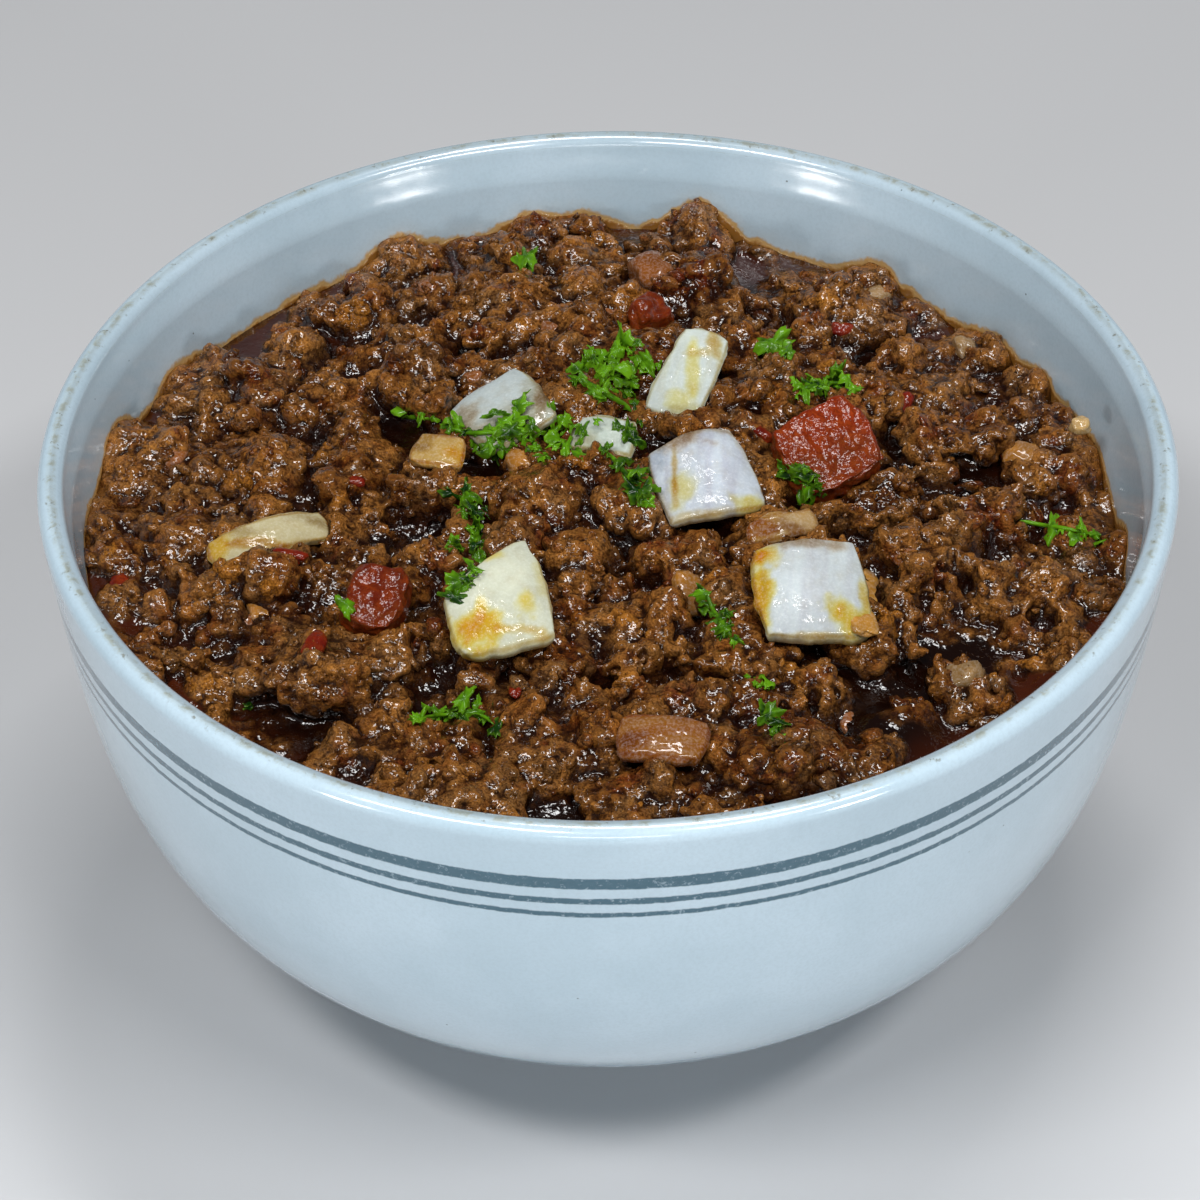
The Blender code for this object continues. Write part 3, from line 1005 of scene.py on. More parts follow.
def close_below(mesh):
    """Runs the edge down the wall and closes it with a floor, so that the chili is a solid."""
    shape = bmesh.new()
    shape.from_mesh(mesh)
    floor_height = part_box("chili")[0].z
    open_edges = [edge for edge in shape.edges if edge.is_boundary]
    left = set(open_edges)
    loops = []
    for start in open_edges:
        if start not in left:
            continue
        left.discard(start)
        group = [start]
        for edge in group:
            for other in (*edge.verts[0].link_edges, *edge.verts[1].link_edges):
                if other in left:
                    left.discard(other)
                    group.append(other)
        loops.append(group)
    loops.sort(key=len, reverse=True)
    for small in loops[1:]:
        bmesh.ops.holes_fill(shape, edges=small, sides=0)
    rim = loops[0]
    start_height = FIELD_LOW + 1.0 * MM
    for share in np.linspace(0.0, 1.0, WALL_RINGS + 1)[1:] ** 0.8:
        height = start_height + (floor_height - start_height) * share
        made = bmesh.ops.extrude_edge_only(shape, edges=rim)
        verts = [item for item in made["geom"] if isinstance(item, bmesh.types.BMVert)]
        rim = [item for item in made["geom"] if isinstance(item, bmesh.types.BMEdge) and item.is_boundary]
        radius = float(inner_radius(max(height, floor_height + 0.2 * MM))) - WALL_GAP
        for vert in verts:
            here = math.hypot(vert.co.x, vert.co.y)
            vert.co.x *= radius / here
            vert.co.y *= radius / here
            vert.co.z = height
    bmesh.ops.contextual_create(shape, geom=rim)
    bmesh.ops.triangulate(shape, faces=[face for face in shape.faces if len(face.verts) > 4])
    bmesh.ops.recalc_face_normals(shape, faces=shape.faces)
    shape.to_mesh(mesh)
    shape.free()
    mesh.shade_smooth()


def contact_line(verts):
    """Highest chili at the wall for each direction."""
    radius = np.hypot(verts[:, 0], verts[:, 1])
    touching = radius > inner_radius(verts[:, 2]) - 0.5 * MM
    azimuth = np.arctan2(verts[touching, 1], verts[touching, 0])
    index = ((azimuth + math.pi) / (2.0 * math.pi) * CONTACT_BINS).astype(int) % CONTACT_BINS
    top = np.full(CONTACT_BINS, FIELD_LOW)
    np.maximum.at(top, index, verts[touching, 2])
    top = np.maximum(top, np.percentile(top, 5))
    smooth = sum(np.roll(top, shift) for shift in (-1, 0, 1)) / 3.0
    angles = (np.arange(CONTACT_BINS) + 0.5) / CONTACT_BINS * 2.0 * math.pi - math.pi
    return angles, smooth


def slow_surface(points):
    """The chili's upper surface, blurred: its axis and its map of heights."""
    step = 1.0 * MM
    axis = np.arange(-72.0 * MM, 72.0 * MM + step, step)
    index = np.clip(np.round((points[:, :2] - axis[0]) / step).astype(int), 0, len(axis) - 1)
    top = np.full((len(axis), len(axis)), -1.0)
    np.maximum.at(top, (index[:, 0], index[:, 1]), points[:, 2])
    unknown = top < 0.0
    top = fill_gaps(np.where(unknown, np.nan, top), unknown, 60)
    return axis, blur(top, 3.2)


def creases(mesh, rounds=6):
    """How far each vert lies under the surface smoothed round it, in metres."""
    count = len(mesh.vertices)
    edges = np.empty(len(mesh.edges) * 2, np.int32)
    mesh.edges.foreach_get("vertices", edges)
    first, second = edges.reshape(-1, 2).T
    points = mesh_points(mesh)
    links = np.bincount(first, minlength=count) + np.bincount(second, minlength=count)
    smooth = points.copy()
    for _ in range(rounds):
        for axis in range(3):
            total = np.bincount(first, smooth[second, axis], count)
            total = total + np.bincount(second, smooth[first, axis], count)
            smooth[:, axis] = 0.4 * smooth[:, axis] + 0.6 * total / np.maximum(links, 1)
    return ((smooth - points) * mesh_normals(mesh)).sum(axis=1)


def relief(points, slow):
    """Height of points over the blurred surface."""
    axis, heights = slow
    return points[:, 2] - read_map(heights, axis, points[:, 0], points[:, 1])


def chili_material():
    """Meat in many browns under dark sauce, with painted shade in creases, hollows darkened partly as pooled
    sauce and partly as painted shade, painted light on ridges, and wet in patches.
    """
    shader = Shader("mince_in_sauce")
    hue = shader.attribute("hue")
    film = shader.attribute("film")
    crease = shader.attribute("crease")
    # deep: hollows under the blurred surface, darkened towards near-black, partly as pooled sauce and partly
    # as painted shade; they are wetter too
    deep = shader.times(shader.ramp(shader.attribute("relief"), -2.0 * MM, 0.3 * MM, 1.0, 0.0), 0.9)
    covered = shader.ramp(shader.attribute("sauce"), 0.25, 0.75)

    patch = shader.times(shader.minus(shader.noise(2.8, 3.0, 0.65), 0.5), 1.9)
    light = shader.plus(shader.times(shader.attribute("tone"), 0.45), patch)
    grey = shader.ramp(shader.noise(5.5, 3.0), 0.46, 0.64, 0.0, 0.7)
    warm = shader.ramp(shader.plus(shader.noise(4.6, 3.0, 0.65), shader.times(hue, 0.08)), 0.50, 0.70)
    red = shader.minus(shader.noise(6.0, 3.0), shader.times(hue, 0.06))
    fine = shader.noise(0.38, 2.0, 0.75)
    fleck = shader.ramp(shader.noise(0.55, 3.0, 0.7), 0.54, 0.70, 0.0, 0.55)
    dark_fleck = shader.ramp(shader.noise(1.9, 3.0, 0.7), 0.50, 0.64, 0.0, 0.72)
    speck = shader.ramp(fine, 0.38, 0.60, 0.85, 0.0)
    # painted light on ridges and painted shade in creases, read from how far each vert stands off the
    # smoothed surface
    ridge = shader.ramp(crease, -0.26 * MM, -0.03 * MM, 0.22, 0.0)
    shade = shader.ramp(crease, 0.0, 0.24 * MM, 0.0, 0.9)
    meat = shader.coats(
        shader.mix(shader.ramp(light, -0.6, 0.6), srgb(80, 40, 13), srgb(164, 110, 52)),
        (grey, (128, 92, 54)),
        (shader.times(warm, 0.3), (140, 66, 12)),
        (shader.ramp(red, 0.56, 0.72, 0.0, 0.6), (104, 28, 8)),
        (shader.ramp(hue, 1.3, 2.2, 0.0, 0.6), (172, 112, 36)),
        (fleck, (194, 130, 48)),
        (dark_fleck, (40, 12, 3)),
        (speck, (140, 122, 104), "MULTIPLY"),
        # painted light on ridges
        (ridge, (186, 122, 54)),
        # hollows: partly pooled sauce, partly painted shade
        (deep, (32, 9, 3)),
        # painted shade in creases
        (shade, (26, 6, 2)),
    )
    film_colour = shader.mix(shader.noise(6.0, 3.0), srgb(44, 12, 5), srgb(80, 34, 12))
    colour = shader.mix(covered, meat, shader.mix(film, srgb(18, 5, 2), film_colour))

    height = shader.plus(shader.times(fine, 0.55), shader.times(shader.noise(1.1, 3.0, 0.7), 1.0))
    height = shader.times(height, shader.ramp(shader.minus(1.0, covered), 0.0, 1.0, 0.10, 1.0))
    wet_skin = shader.bump(shader.noise(1.3, 2.0, 0.5), 0.34, 0.8)
    rough = shader.ramp(shader.noise(1.6, 3.0), 0.35, 0.65, 0.55, 0.8)
    rough = shader.times(rough, shader.ramp(covered, 0.0, 1.0, 1.0, 0.25))
    wetness = shader.most(shader.ramp(shader.noise(2.2, 3.0, 0.6), 0.36, 0.58, 0.25, 1.0), deep)
    shader.set(Base_Color=colour, Roughness=rough, Normal=shader.bump(height, 0.7), Coat_Normal=wet_skin)
    shader.set(Coat_Weight=shader.most(wetness, covered))
    shader.set(Coat_Roughness=0.11, Coat_IOR=1.5, IOR=1.40, Specular_IOR_Level=0.02)
    return shader.material


def roughened(mesh, verts, wet):
    """Verts moved along their normals by lumps, ridges and fine noise, but not in sauce."""
    shifts = [value_noise(verts, 2.0 * MM, 3.1 * axis) for axis in range(3)]
    warped = verts + 0.5 * MM * np.stack(shifts, 1)
    rough = 0.34 * MM * (cell_noise(warped, 2.3 * MM) - 0.5)
    rough = rough + 0.12 * MM * (cell_noise(warped, 1.05 * MM, 7) - 0.5)
    rough += 0.14 * MM * (0.4 - np.abs(value_noise(warped, 1.5 * MM, 2.0)))
    rough += 0.16 * MM * layered_noise(verts, 1.6 * MM, 2)
    inner = np.hypot(verts[:, 0], verts[:, 1]) < inner_radius(verts[:, 2]) - 0.4 * MM
    return verts + mesh_normals(mesh) * (rough * (1.0 - 0.92 * wet) * inner)[:, None]


def build_chili():
    terrain = Terrain()
    grid = Grid()
    grow_lumps(grid, terrain)
    field, share, tone, hue = chili_field(grid, terrain)
    carve_toppings(grid, field)
    verts, quads = surface_nets(field, (grid.xy, grid.xy, grid.z))
    verts, quads = trim_to_wall(verts, quads)
    verts, quads = largest_part(verts, quads)
    mesh = mesh_from("chili_looks", verts, quads)
    set_points(mesh, roughened(mesh, verts, read_grid(grid, share, verts)))
    triangles = 2 * len(mesh.polygons)
    if triangles > MINCE_TRIANGLES:
        mesh = modified(mesh, DECIMATE={"ratio": MINCE_TRIANGLES / triangles})
    angles, heights = contact_line(mesh_points(mesh))
    close_below(mesh)
    points = mesh_points(mesh)
    slow = slow_surface(points)
    film = smooth_step(np.hypot(points[:, 0], points[:, 1]), 54.0 * MM, 64.0 * MM)
    film = film * (0.6 + 0.4 * (points[:, 1] < 20.0 * MM))
    fields = {"tone": tone, "hue": hue, "sauce": share}
    # relief and crease drive the painted shade in hollows and creases and the painted light on ridges
    set_attributes(mesh, relief=relief(points, slow), crease=creases(mesh), film=film,
                   **{name: read_grid(grid, values, points) for name, values in fields.items()})
    material = chili_material()
    chili = add_piece("chili_mince", mesh, material, ["chili"])
    for number, (name, settings) in enumerate(LOOSE_MINCE.items()):
        loose = build_grains(name, mesh, terrain, grid, fields, SEED + 1 + number, **settings)
        # the grains' relief feeds the same painted shade in hollows
        set_attributes(loose, relief=relief(mesh_points(loose), slow))
        add_piece(name, loose, material)
    return chili, angles, heights


# ---------------------------------------------------------------- onion and tomato pieces

PIECE_VOXEL = 0.34 * MM

# What sauce and juices let through, as linear red, green and blue
DYES = {
    "cream": (0.95, 0.86, 0.58),
    "yellow": (0.95, 0.62, 0.07),
    "orange": (0.92, 0.48, 0.04),
    "amber": (0.58, 0.27, 0.04),
    "brown": (0.36, 0.19, 0.09),
    "dark": (0.16, 0.07, 0.03),
    "violet": (0.66, 0.60, 0.66),
    "grey": (0.60, 0.63, 0.68),
    "clear": (0.52, 0.42, 0.26),
    "white": (1.16, 1.16, 1.16),
    "honey": (0.84, 0.58, 0.24),
}

# For each onion: base colour, colour of its veins and their strength, the way the veins run
# (degrees, as seen from above), colour and strength of the tinted edge, then stains as
# (right of the middle, behind the middle, radius, radius the other way, colour, strength)
ONION_LOOKS = {
    "onion_1": ((170, 179, 178), "grey", 0.25, 40.0, "clear", 0.6, (
        (5.0, -2.0, 3.0, 6.0, "clear", 0.45), (-1.0, -5.5, 7.0, 3.0, "clear", 0.55),
        (0.5, 4.0, 4.0, 3.0, "white", 0.6), (5.5, 0.5, 1.2, 4.0, "brown", 0.6),
        (-5.0, -2.0, 2.5, 3.0, "brown", 0.45))),
    "onion_2": ((178, 187, 184), "cream", 0.5, 70.0, "cream", 0.5, (
        (0.8, -1.0, 0.9, 4.6, "yellow", 0.42), (-1.2, -4.5, 1.4, 1.4, "yellow", 0.35),
        (2.0, 1.8, 2.2, 0.9, "amber", 0.35), (1.5, 5.0, 3.5, 2.5, "white", 0.7),
        (4.2, 3.5, 1.0, 3.0, "amber", 0.5), (-2.0, -6.5, 2.0, 1.5, "clear", 0.5))),
    "onion_3": ((174, 182, 190), "violet", 0.75, 88.0, "honey", 0.65, (
        (-3.5, 5.0, 3.6, 2.6, "brown", 0.7), (-6.2, 3.0, 1.6, 2.6, "grey", 0.7),
        (-4.4, -1.0, 0.5, 4.4, "amber", 0.6), (-3.4, -3.5, 2.0, 2.6, "yellow", 0.4),
        (6.0, -5.2, 2.6, 1.3, "yellow", 0.6), (0.0, -7.2, 6.0, 0.45, "honey", 0.5),
        (1.5, 0.5, 2.4, 4.5, "white", 0.8), (3.6, 6.4, 3.0, 0.9, "brown", 0.5))),
    "onion_4": ((178, 186, 188), "violet", 0.6, 84.0, "honey", 0.6, (
        (-6.0, 4.4, 1.8, 1.8, "orange", 0.8), (-7.0, -1.0, 1.7, 7.0, "yellow", 1.5),
        (0.5, 6.4, 6.0, 1.3, "brown", 0.5), (3.5, -3.6, 2.4, 1.8, "yellow", 0.7),
        (5.0, -5.4, 3.2, 2.2, "yellow", 1.1), (7.2, -2.6, 1.1, 3.8, "orange", 0.6),
        (-1.5, -1.0, 3.4, 4.0, "white", 0.8), (1.0, -7.9, 6.0, 0.5, "honey", 0.6))),
    "onion_5": ((184, 187, 168), "white", 0.5, 62.0, "honey", 0.5, (
        (-2.8, -6.4, 4.2, 2.6, "yellow", 1.3), (-2.6, -3.6, 0.8, 1.9, "yellow", 0.8),
        (-4.4, -6.6, 1.6, 1.2, "orange", 0.5), (2.5, -6.6, 4.0, 0.7, "honey", 0.7),
        (1.0, 2.0, 3.2, 4.0, "white", 0.7), (5.2, 3.0, 1.0, 4.5, "cream", 0.8),
        (-1.0, 5.0, 1.8, 1.2, "yellow", 0.55), (3.6, -2.6, 1.2, 2.2, "yellow", 0.5))),
    "onion_6": ((172, 162, 126), "white", 0.55, 28.0, "honey", 0.75, (
        (-6.8, -3.0, 2.6, 2.4, "yellow", 0.8), (-2.5, -1.0, 3.0, 1.0, "clear", 0.6),
        (3.0, 1.6, 4.0, 1.2, "white", 0.6), (6.6, 3.4, 2.0, 1.4, "clear", 0.7),
        (0.0, -2.6, 5.0, 0.8, "amber", 0.7))),
    "onion_7": ((164, 134, 74), "cream", 0.45, -14.0, "honey", 0.8, (
        (2.2, -1.2, 1.8, 1.6, "yellow", 0.7), (-2.0, 0.6, 1.6, 1.6, "clear", 0.7),
        (1.0, 2.4, 2.0, 1.0, "brown", 0.6))),
    "onion_8": ((168, 178, 168), "white", 0.5, -30.0, "clear", 0.6, (
        (-2.4, -1.0, 2.2, 1.6, "clear", 0.5), (2.4, 0.4, 1.8, 2.0, "white", 0.6))),
    "onion_9": ((134, 86, 30), "amber", 0.45, 8.0, "honey", 0.7, (
        (3.5, 2.0, 3.0, 1.5, "clear", 0.5), (-3.5, -1.0, 2.0, 2.0, "brown", 0.6),
        (0.5, 3.4, 5.0, 0.7, "amber", 0.6))),
    "onion_10": ((150, 124, 84), "cream", 0.5, 19.0, "honey", 0.8, (
        (3.8, 1.4, 1.8, 1.8, "white", 0.85), (-3.5, -1.2, 2.2, 1.4, "amber", 0.8),
        (0.5, -1.0, 2.0, 1.0, "brown", 0.5))),
}

# For each tomato: base colour, how brown it is, and the slope of its cut top, if it has one
TOMATO_LOOKS = {
    "tomato_1": ((140, 42, 10), 0.26, 0.55),
    "tomato_2": ((88, 16, 5), 0.50, 0.0),
    "tomato_3": ((92, 18, 6), 0.45, 0.4),
}
TOMATO_BROWN = (96, 44, 14)

# Each onion as the frame has it, in millimetres and degrees: place from the middle of the rim,
# size, radius of its bend, outline (taper, flare, slant) and turns about X, Y and Z
ONION_SHAPES = {
    "onion_1": ((-14.3, 19.8, -9.4), (13.4, 12.4, 2.2), 20, (-0.10, -0.15, 0.0), (14, -4, -60)),
    "onion_2": ((11.5, 28.0, -9.8), (7.8, 15.0, 2.6), 16, (0.18, 0.0, 0.1), (24, 6, -17)),
    "onion_3": ((13.0, 4.0, -8.9), (13.6, 14.2, 2.8), 14, (0.10, 0.16, 0.0), (16, -3, 18)),
    "onion_4": ((26.6, -19.6, -9.8), (15.0, 16.2, 3.2), 24, (0.04, 0.06, 0.0), (15, 3, 7)),
    "onion_5": ((-14.6, -23.0, -9.0), (14.6, 14.0, 3.4), 24, (-0.05, 0.56, 0.3), (16, -4, 32)),
    "onion_6": ((-45.4, -4.4, -11.8), (17.2, 5.6, 2.0), 18, (-0.10, 0.0, 0.0), (18, 4, 28)),
    "onion_7": ((-23.0, 11.4, -10.0), (7.4, 5.9, 2.0), 14, (0.20, 0.0, 0.0), (10, 0, -14)),
    "onion_8": ((-0.5, 14.0, -9.6), (9.0, 6.2, 2.0), 16, (0.26, 0.0, 0.0), (16, -4, -16)),
    "onion_9": ((6.6, -45.6, -12.4), (11.5, 7.0, 2.6), 18, (-0.08, 0.0, 0.0), (10, 0, -9)),
    "onion_10": ((23.2, -5.6, -9.8), (10.0, 3.8, 1.8), 16, (0.06, 0.0, 0.0), (30, 0, 19)),
}
SHEET_GRID = 52
BRIGHTEST_ONION = 0.72


def remeshed_piece(name, rounding):
    """The CAD node as a fine even mesh with its corners rounded."""
    shape = bmesh.new()
    shape.from_mesh(NODES[name].data)
    bmesh.ops.remove_doubles(shape, verts=shape.verts, dist=0.005 * MM)
    mesh = bpy.data.meshes.new(name + "_looks")
    shape.to_mesh(mesh)
    shape.free()
    mesh = modified(mesh, REMESH={"mode": "VOXEL", "voxel_size": PIECE_VOXEL},
                    SMOOTH={"factor": 0.5, "iterations": rounding})
    mesh.shade_smooth()
    return mesh


def streaks(local, angle, seed, width_mm=1.1):
    """Noise drawn out along an angle, from 0 to 1."""
    turn = math.radians(angle)
    along = local[:, 0] * math.cos(turn) + local[:, 1] * math.sin(turn)
    across = -local[:, 0] * math.sin(turn) + local[:, 1] * math.cos(turn)
    drawn = np.stack([across, along * 0.12, 0.12 * local[:, 2] + seed * 7.1], axis=1)
    return 0.5 + 0.5 * layered_noise(drawn, width_mm, 3, seed) / 1.5


def dyed(colours, dye, share):
    """Colours seen through a share of a dye."""
    return colours * np.array(DYES[dye]) ** share[:, None]


def stained(colours, local, stains, seed, angle):
    """Colours with ragged stains, drawn out along the veins."""
    drawn = streaks(local, angle, seed + 6.0, 0.9)
    for number, (right, behind, wide, deep, dye, strength) in enumerate(stains):
        distance = np.hypot((local[:, 0] - right) / wide, (local[:, 1] - behind) / deep)
        distance += 0.5 * layered_noise(local, 1.9, 3, seed + 2.3 * number)
        share = strength * (1.0 - smooth_step(distance, 0.25, 1.35)) * (0.55 + 0.9 * drawn)
        colours = dyed(colours, dye, share)
    return colours


def onion_sheet(name, number):
    """A fine closed sheet of onion: its verts, faces and, per vert, the run to its edge in mm."""
    place, size, bend, outline, turns = ONION_SHAPES[name]
    taper, flare, slant = outline
    steps = np.sin(np.linspace(-0.5, 0.5, SHEET_GRID) * math.pi * 0.92) / math.sin(0.46 * math.pi)
    across, along = [part.ravel() for part in np.meshgrid(steps, steps, indexing="ij")]
    corner = 1.0 - 0.13 * (across * along) ** 2
    flat = np.stack([across * size[0] / 2, along * size[1] / 2, np.full(len(across), 3.0 * number)], 1)
    ragged = np.maximum(np.abs(across), np.abs(along)) ** 6 * 0.34 * layered_noise(flat, 3.0, 3, number)
    x = 0.5 * size[0] * across * (1.0 - 0.5 * taper * along) * corner
    x = x + ragged * np.sign(across) * np.abs(across) ** 3
    y = 0.5 * size[1] * along * (1.0 + 0.5 * flare * across) * corner
    y = y + ragged * np.sign(along) * np.abs(along) ** 3
    x = x + slant * y
    z = 0.3 * size[2] - (x * x + 0.3 * y * y) / (2.0 * bend) + 0.22 * value_noise(flat, 6.0, number)
    inset = np.minimum((1.0 - np.abs(across)) * size[0] / 2, (1.0 - np.abs(along)) * size[1] / 2)
    half = 0.5 * size[2] * (0.80 + 0.20 * smooth_step(inset, 0.0, 2.5))
    half = half * (0.22 + 0.78 * np.sqrt(smooth_step(inset, -0.15, 0.75)))
    normal = np.stack([x / bend, 0.3 * y / bend, np.ones(len(x))], 1)
    normal /= np.linalg.norm(normal, axis=1)[:, None]
    middle = np.stack([x, y, z], 1)
    verts = np.vstack([middle + half[:, None] * normal, middle - half[:, None] * normal])
    turn = Euler([math.radians(angle) for angle in turns], "XYZ").to_matrix()
    verts = verts @ np.array(turn).T + np.array(place) + np.array([0.0, 0.0, RIM_HEIGHT / MM])
    index = np.arange(SHEET_GRID * SHEET_GRID).reshape(SHEET_GRID, SHEET_GRID)
    top = np.stack([index[:-1, :-1], index[1:, :-1], index[1:, 1:], index[:-1, 1:]], -1).reshape(-1, 4)
    under = top[:, ::-1] + index.size
    loop = np.concatenate([index[:-1, 0], index[-1, :-1], index[:0:-1, -1], index[0, :0:-1]])
    after = np.roll(loop, -1)
    side = np.stack([loop, loop + index.size, after + index.size, after], -1)
    return verts * MM, np.vstack([top, under, side]), np.tile(inset, 2)


def middle_of(name):
    """The middle of a CAD node's box."""
    low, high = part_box(name)
    return 0.5 * (np.array(low) + np.array(high))


def build_onion(name, number, material):
    base, vein, vein_strength, angle, edge, edge_strength, stains = ONION_LOOKS[name]
    verts, faces, inset = onion_sheet(name, number)
    mesh = mesh_from(name + "_looks", verts, faces)
    points = mesh_points(mesh)
    local = (points - middle_of(name)) / MM
    ridge = streaks(local, angle, number, 1.3) - 0.5
    dents = 0.12 * value_noise(local, 3.0, number) + 0.03 * value_noise(local, 0.9, number)
    points = points + mesh_normals(mesh) * ((0.16 * ridge + dents) * MM)[:, None]
    set_points(mesh, points)
    veins = smooth_step(streaks(local, angle, number + 3.0), 0.35, 0.95) * 0.7 * vein_strength
    colours = np.tile(linear_rgb(base), (len(points), 1))
    colours = dyed(colours, vein, veins)
    colours = stained(colours, local, stains, number, angle)
    creep = inset + 0.6 * layered_noise(local, 2.6, 3, 5.0 + number)
    colours = dyed(colours, edge, 0.4 * edge_strength * (1.0 - smooth_step(creep, 0.0, 1.2)))
    outline = np.exp(-((inset - 0.32) / 0.22) ** 2) * (0.4 + 0.6 * smooth_step(creep - inset, -0.5, 0.4))
    colours = dyed(colours, "amber", 0.6 * edge_strength * outline)
    half = len(points) // 2
    colours[half:] = dyed(colours[half:], "honey", np.full(half, 0.5))
    set_paint(mesh, np.clip(colours, 0.0, BRIGHTEST_ONION))
    set_attributes(mesh, inset=inset)
    return add_piece(name + "_cooked", mesh, material, [name])


def onion_material(name, soaked):
    shader = Shader(name)
    mottle = shader.ramp(shader.noise(2.2, 4.0, 0.6), 0.42, 0.75, 0.0, 0.22)
    cells = shader.ramp(shader.noise(0.4, 2.0, 0.7), 0.4, 0.75, 0.0, 0.12)
    colour = shader.coats(
        shader.attribute("paint", "Color"),
        (mottle, (214, 186, 140), "MULTIPLY"),
        (cells, (250, 250, 246), "SCREEN"),
    )
    skin = shader.bump(shader.noise(0.6, 3.0, 0.6), 0.06, 0.6)
    wet = shader.bump(shader.noise(1.6, 2.0, 0.5), 0.26, 0.7)
    damp = shader.ramp(shader.noise(2.2, 3.0, 0.6), 0.46, 0.58, 0.15, 1.0)
    damp = shader.times(damp, shader.ramp(shader.attribute("inset"), 0.6, 3.6, 1.0, 0.3))
    shader.set(Base_Color=colour, Roughness=0.5, Normal=skin, Coat_Normal=wet)
    shader.set(Coat_Weight=0.8 if soaked else damp, Coat_Roughness=0.09, IOR=1.42, Specular_IOR_Level=0.04)
    shader.set(Subsurface_Weight=0.18, Subsurface_Scale=0.8 * MM, Subsurface_Radius=(1.0, 0.9, 0.7))
    return shader.material


def tomato_material():
    shader = Shader("cooked_tomato")
    colour = shader.coats(
        shader.attribute("paint", "Color"),
        (shader.ramp(shader.noise(1.8, 4.0, 0.65), 0.35, 0.7, 0.0, 0.55), (150, 62, 14)),
        (shader.ramp(shader.noise(0.45, 3.0, 0.7), 0.42, 0.66, 0.0, 0.7), (84, 16, 8)),
    )
    skin = shader.bump(shader.noise(0.7, 3.0, 0.65), 0.42, 0.9)
    wet = shader.bump(shader.noise(0.75, 2.0, 0.5), 0.22, 0.8)
    shader.set(Base_Color=colour, Roughness=0.4, Normal=skin, Coat_Normal=wet)
    shader.set(Coat_Weight=0.65, Coat_Roughness=0.10, IOR=1.42, Specular_IOR_Level=0.04)
    shader.set(Subsurface_Weight=0.08, Subsurface_Scale=1.0 * MM, Subsurface_Radius=(1.0, 0.3, 0.15))
    return shader.material


def build_tomato(name, number, material):
    base, brown, slope = TOMATO_LOOKS[name]
    mesh = remeshed_piece(name, 14)
    points = mesh_points(mesh)
    low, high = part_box(name)
    local = (points - middle_of(name)) / MM
    swell = 0.40 * value_noise(local, 5.0, number) + 0.12 * value_noise(local, 2.0, number)
    pebble = 0.36 * value_noise(local, 1.5, number) + 0.24 * value_noise(local, 0.85, number)
    points = points + mesh_normals(mesh) * (swell * MM)[:, None]
    if slope:
        behind, right = points[:, 1] - high.y + 3.0 * MM, points[:, 0] - low.x
        plane = high.z + (0.6 * MM + slope * behind - 0.12 * right)
        over = points[:, 2] - plane
        points[:, 2] -= 0.5 * (over + np.hypot(over, 1.2 * MM)) * (points[:, 2] > low.z)
    set_points(mesh, points)
    points = points + mesh_normals(mesh) * (pebble * MM)[:, None]
    set_points(mesh, points)
    depth = (points[:, 2] - low.z) / (high.z - low.z)
    soiled = brown + 0.9 * (1.0 - smooth_step(depth, 0.35, 0.95))
    soiled = np.clip(soiled + 0.35 * layered_noise(local, 3.4, 3, number), 0.0, 0.92)[:, None]
    set_paint(mesh, linear_rgb(base) + soiled * (linear_rgb(TOMATO_BROWN) - linear_rgb(base)))
    return add_piece(name + "_cooked", mesh, material, [name])


# ---------------------------------------------------------------- loose grains and bits

THIN = 1
GRAIN_SHAPES = 24
LOOSE_MINCE = {
    "mince_crumbs": dict(count=1500 // THIN, low=0.50 * MM, high=1.30 * MM, sink=0.75, subdivisions=2),
    "mince_grains": dict(count=4200 // THIN, low=0.24 * MM, high=0.50 * MM, sink=0.60, subdivisions=1),
}


def template_balls(subdivisions, count, lumpiness, seed):
    """Lumpy balls of radius 1 to copy, as (count, verts, 3) and their shared faces."""
    shape = bmesh.new()
    bmesh.ops.create_icosphere(shape, subdivisions=subdivisions, radius=1.0)
    verts = np.array([vert.co[:] for vert in shape.verts])
    faces = np.array([[vert.index for vert in face.verts] for face in shape.faces])
    shape.free()
    balls = []
    for number in range(count):
        lump = np.maximum(1.0 + lumpiness * layered_noise(verts, 1.0, 3, seed + 5.3 * number), 0.35)
        balls.append(verts * lump[:, None])
    return np.array(balls), faces


def random_rotations(rng, count):
    """Evenly spread rotations from random quaternions."""
    quaternion = rng.normal(size=(count, 4))
    w, x, y, z = (quaternion / np.linalg.norm(quaternion, axis=1)[:, None]).T
    return np.stack([
        1 - 2 * (y * y + z * z), 2 * (x * y - z * w), 2 * (x * z + y * w),
        2 * (x * y + z * w), 1 - 2 * (x * x + z * z), 2 * (y * z - x * w),
        2 * (x * z - y * w), 2 * (y * z + x * w), 1 - 2 * (x * x + y * y),
    ], axis=1).reshape(count, 3, 3)


def copies(balls, faces, pick, radii, turns, centres):
    """Joins copies of the template balls into arrays of verts and faces."""
    stretched = balls[pick] * radii[:, None, :]
    verts = np.einsum("nij,nvj->nvi", turns, stretched) + centres[:, None, :]
    count = balls.shape[1]
    every = faces[None, :, :] + count * np.arange(len(pick))[:, None, None]
    return verts.reshape(-1, 3), every.reshape(-1, 3)


def surface_samples(mesh, count, rng, keep):
    """Random places on the mesh's upper faces, with normals: keep(centres) says where."""
    total = len(mesh.polygons)
    areas = np.empty(total, np.float32)
    mesh.polygons.foreach_get("area", areas)
    centres = read_vectors(mesh.polygons, "center")
    normals = read_vectors(mesh.polygons, "normal")
    chance = areas * keep(centres, normals)
    chance = chance / chance.sum()
    pick = rng.choice(total, count, replace=True, p=chance)
    spots = centres[pick] + rng.normal(0.0, 0.12 * MM, (count, 3))
    return spots, normals[pick]


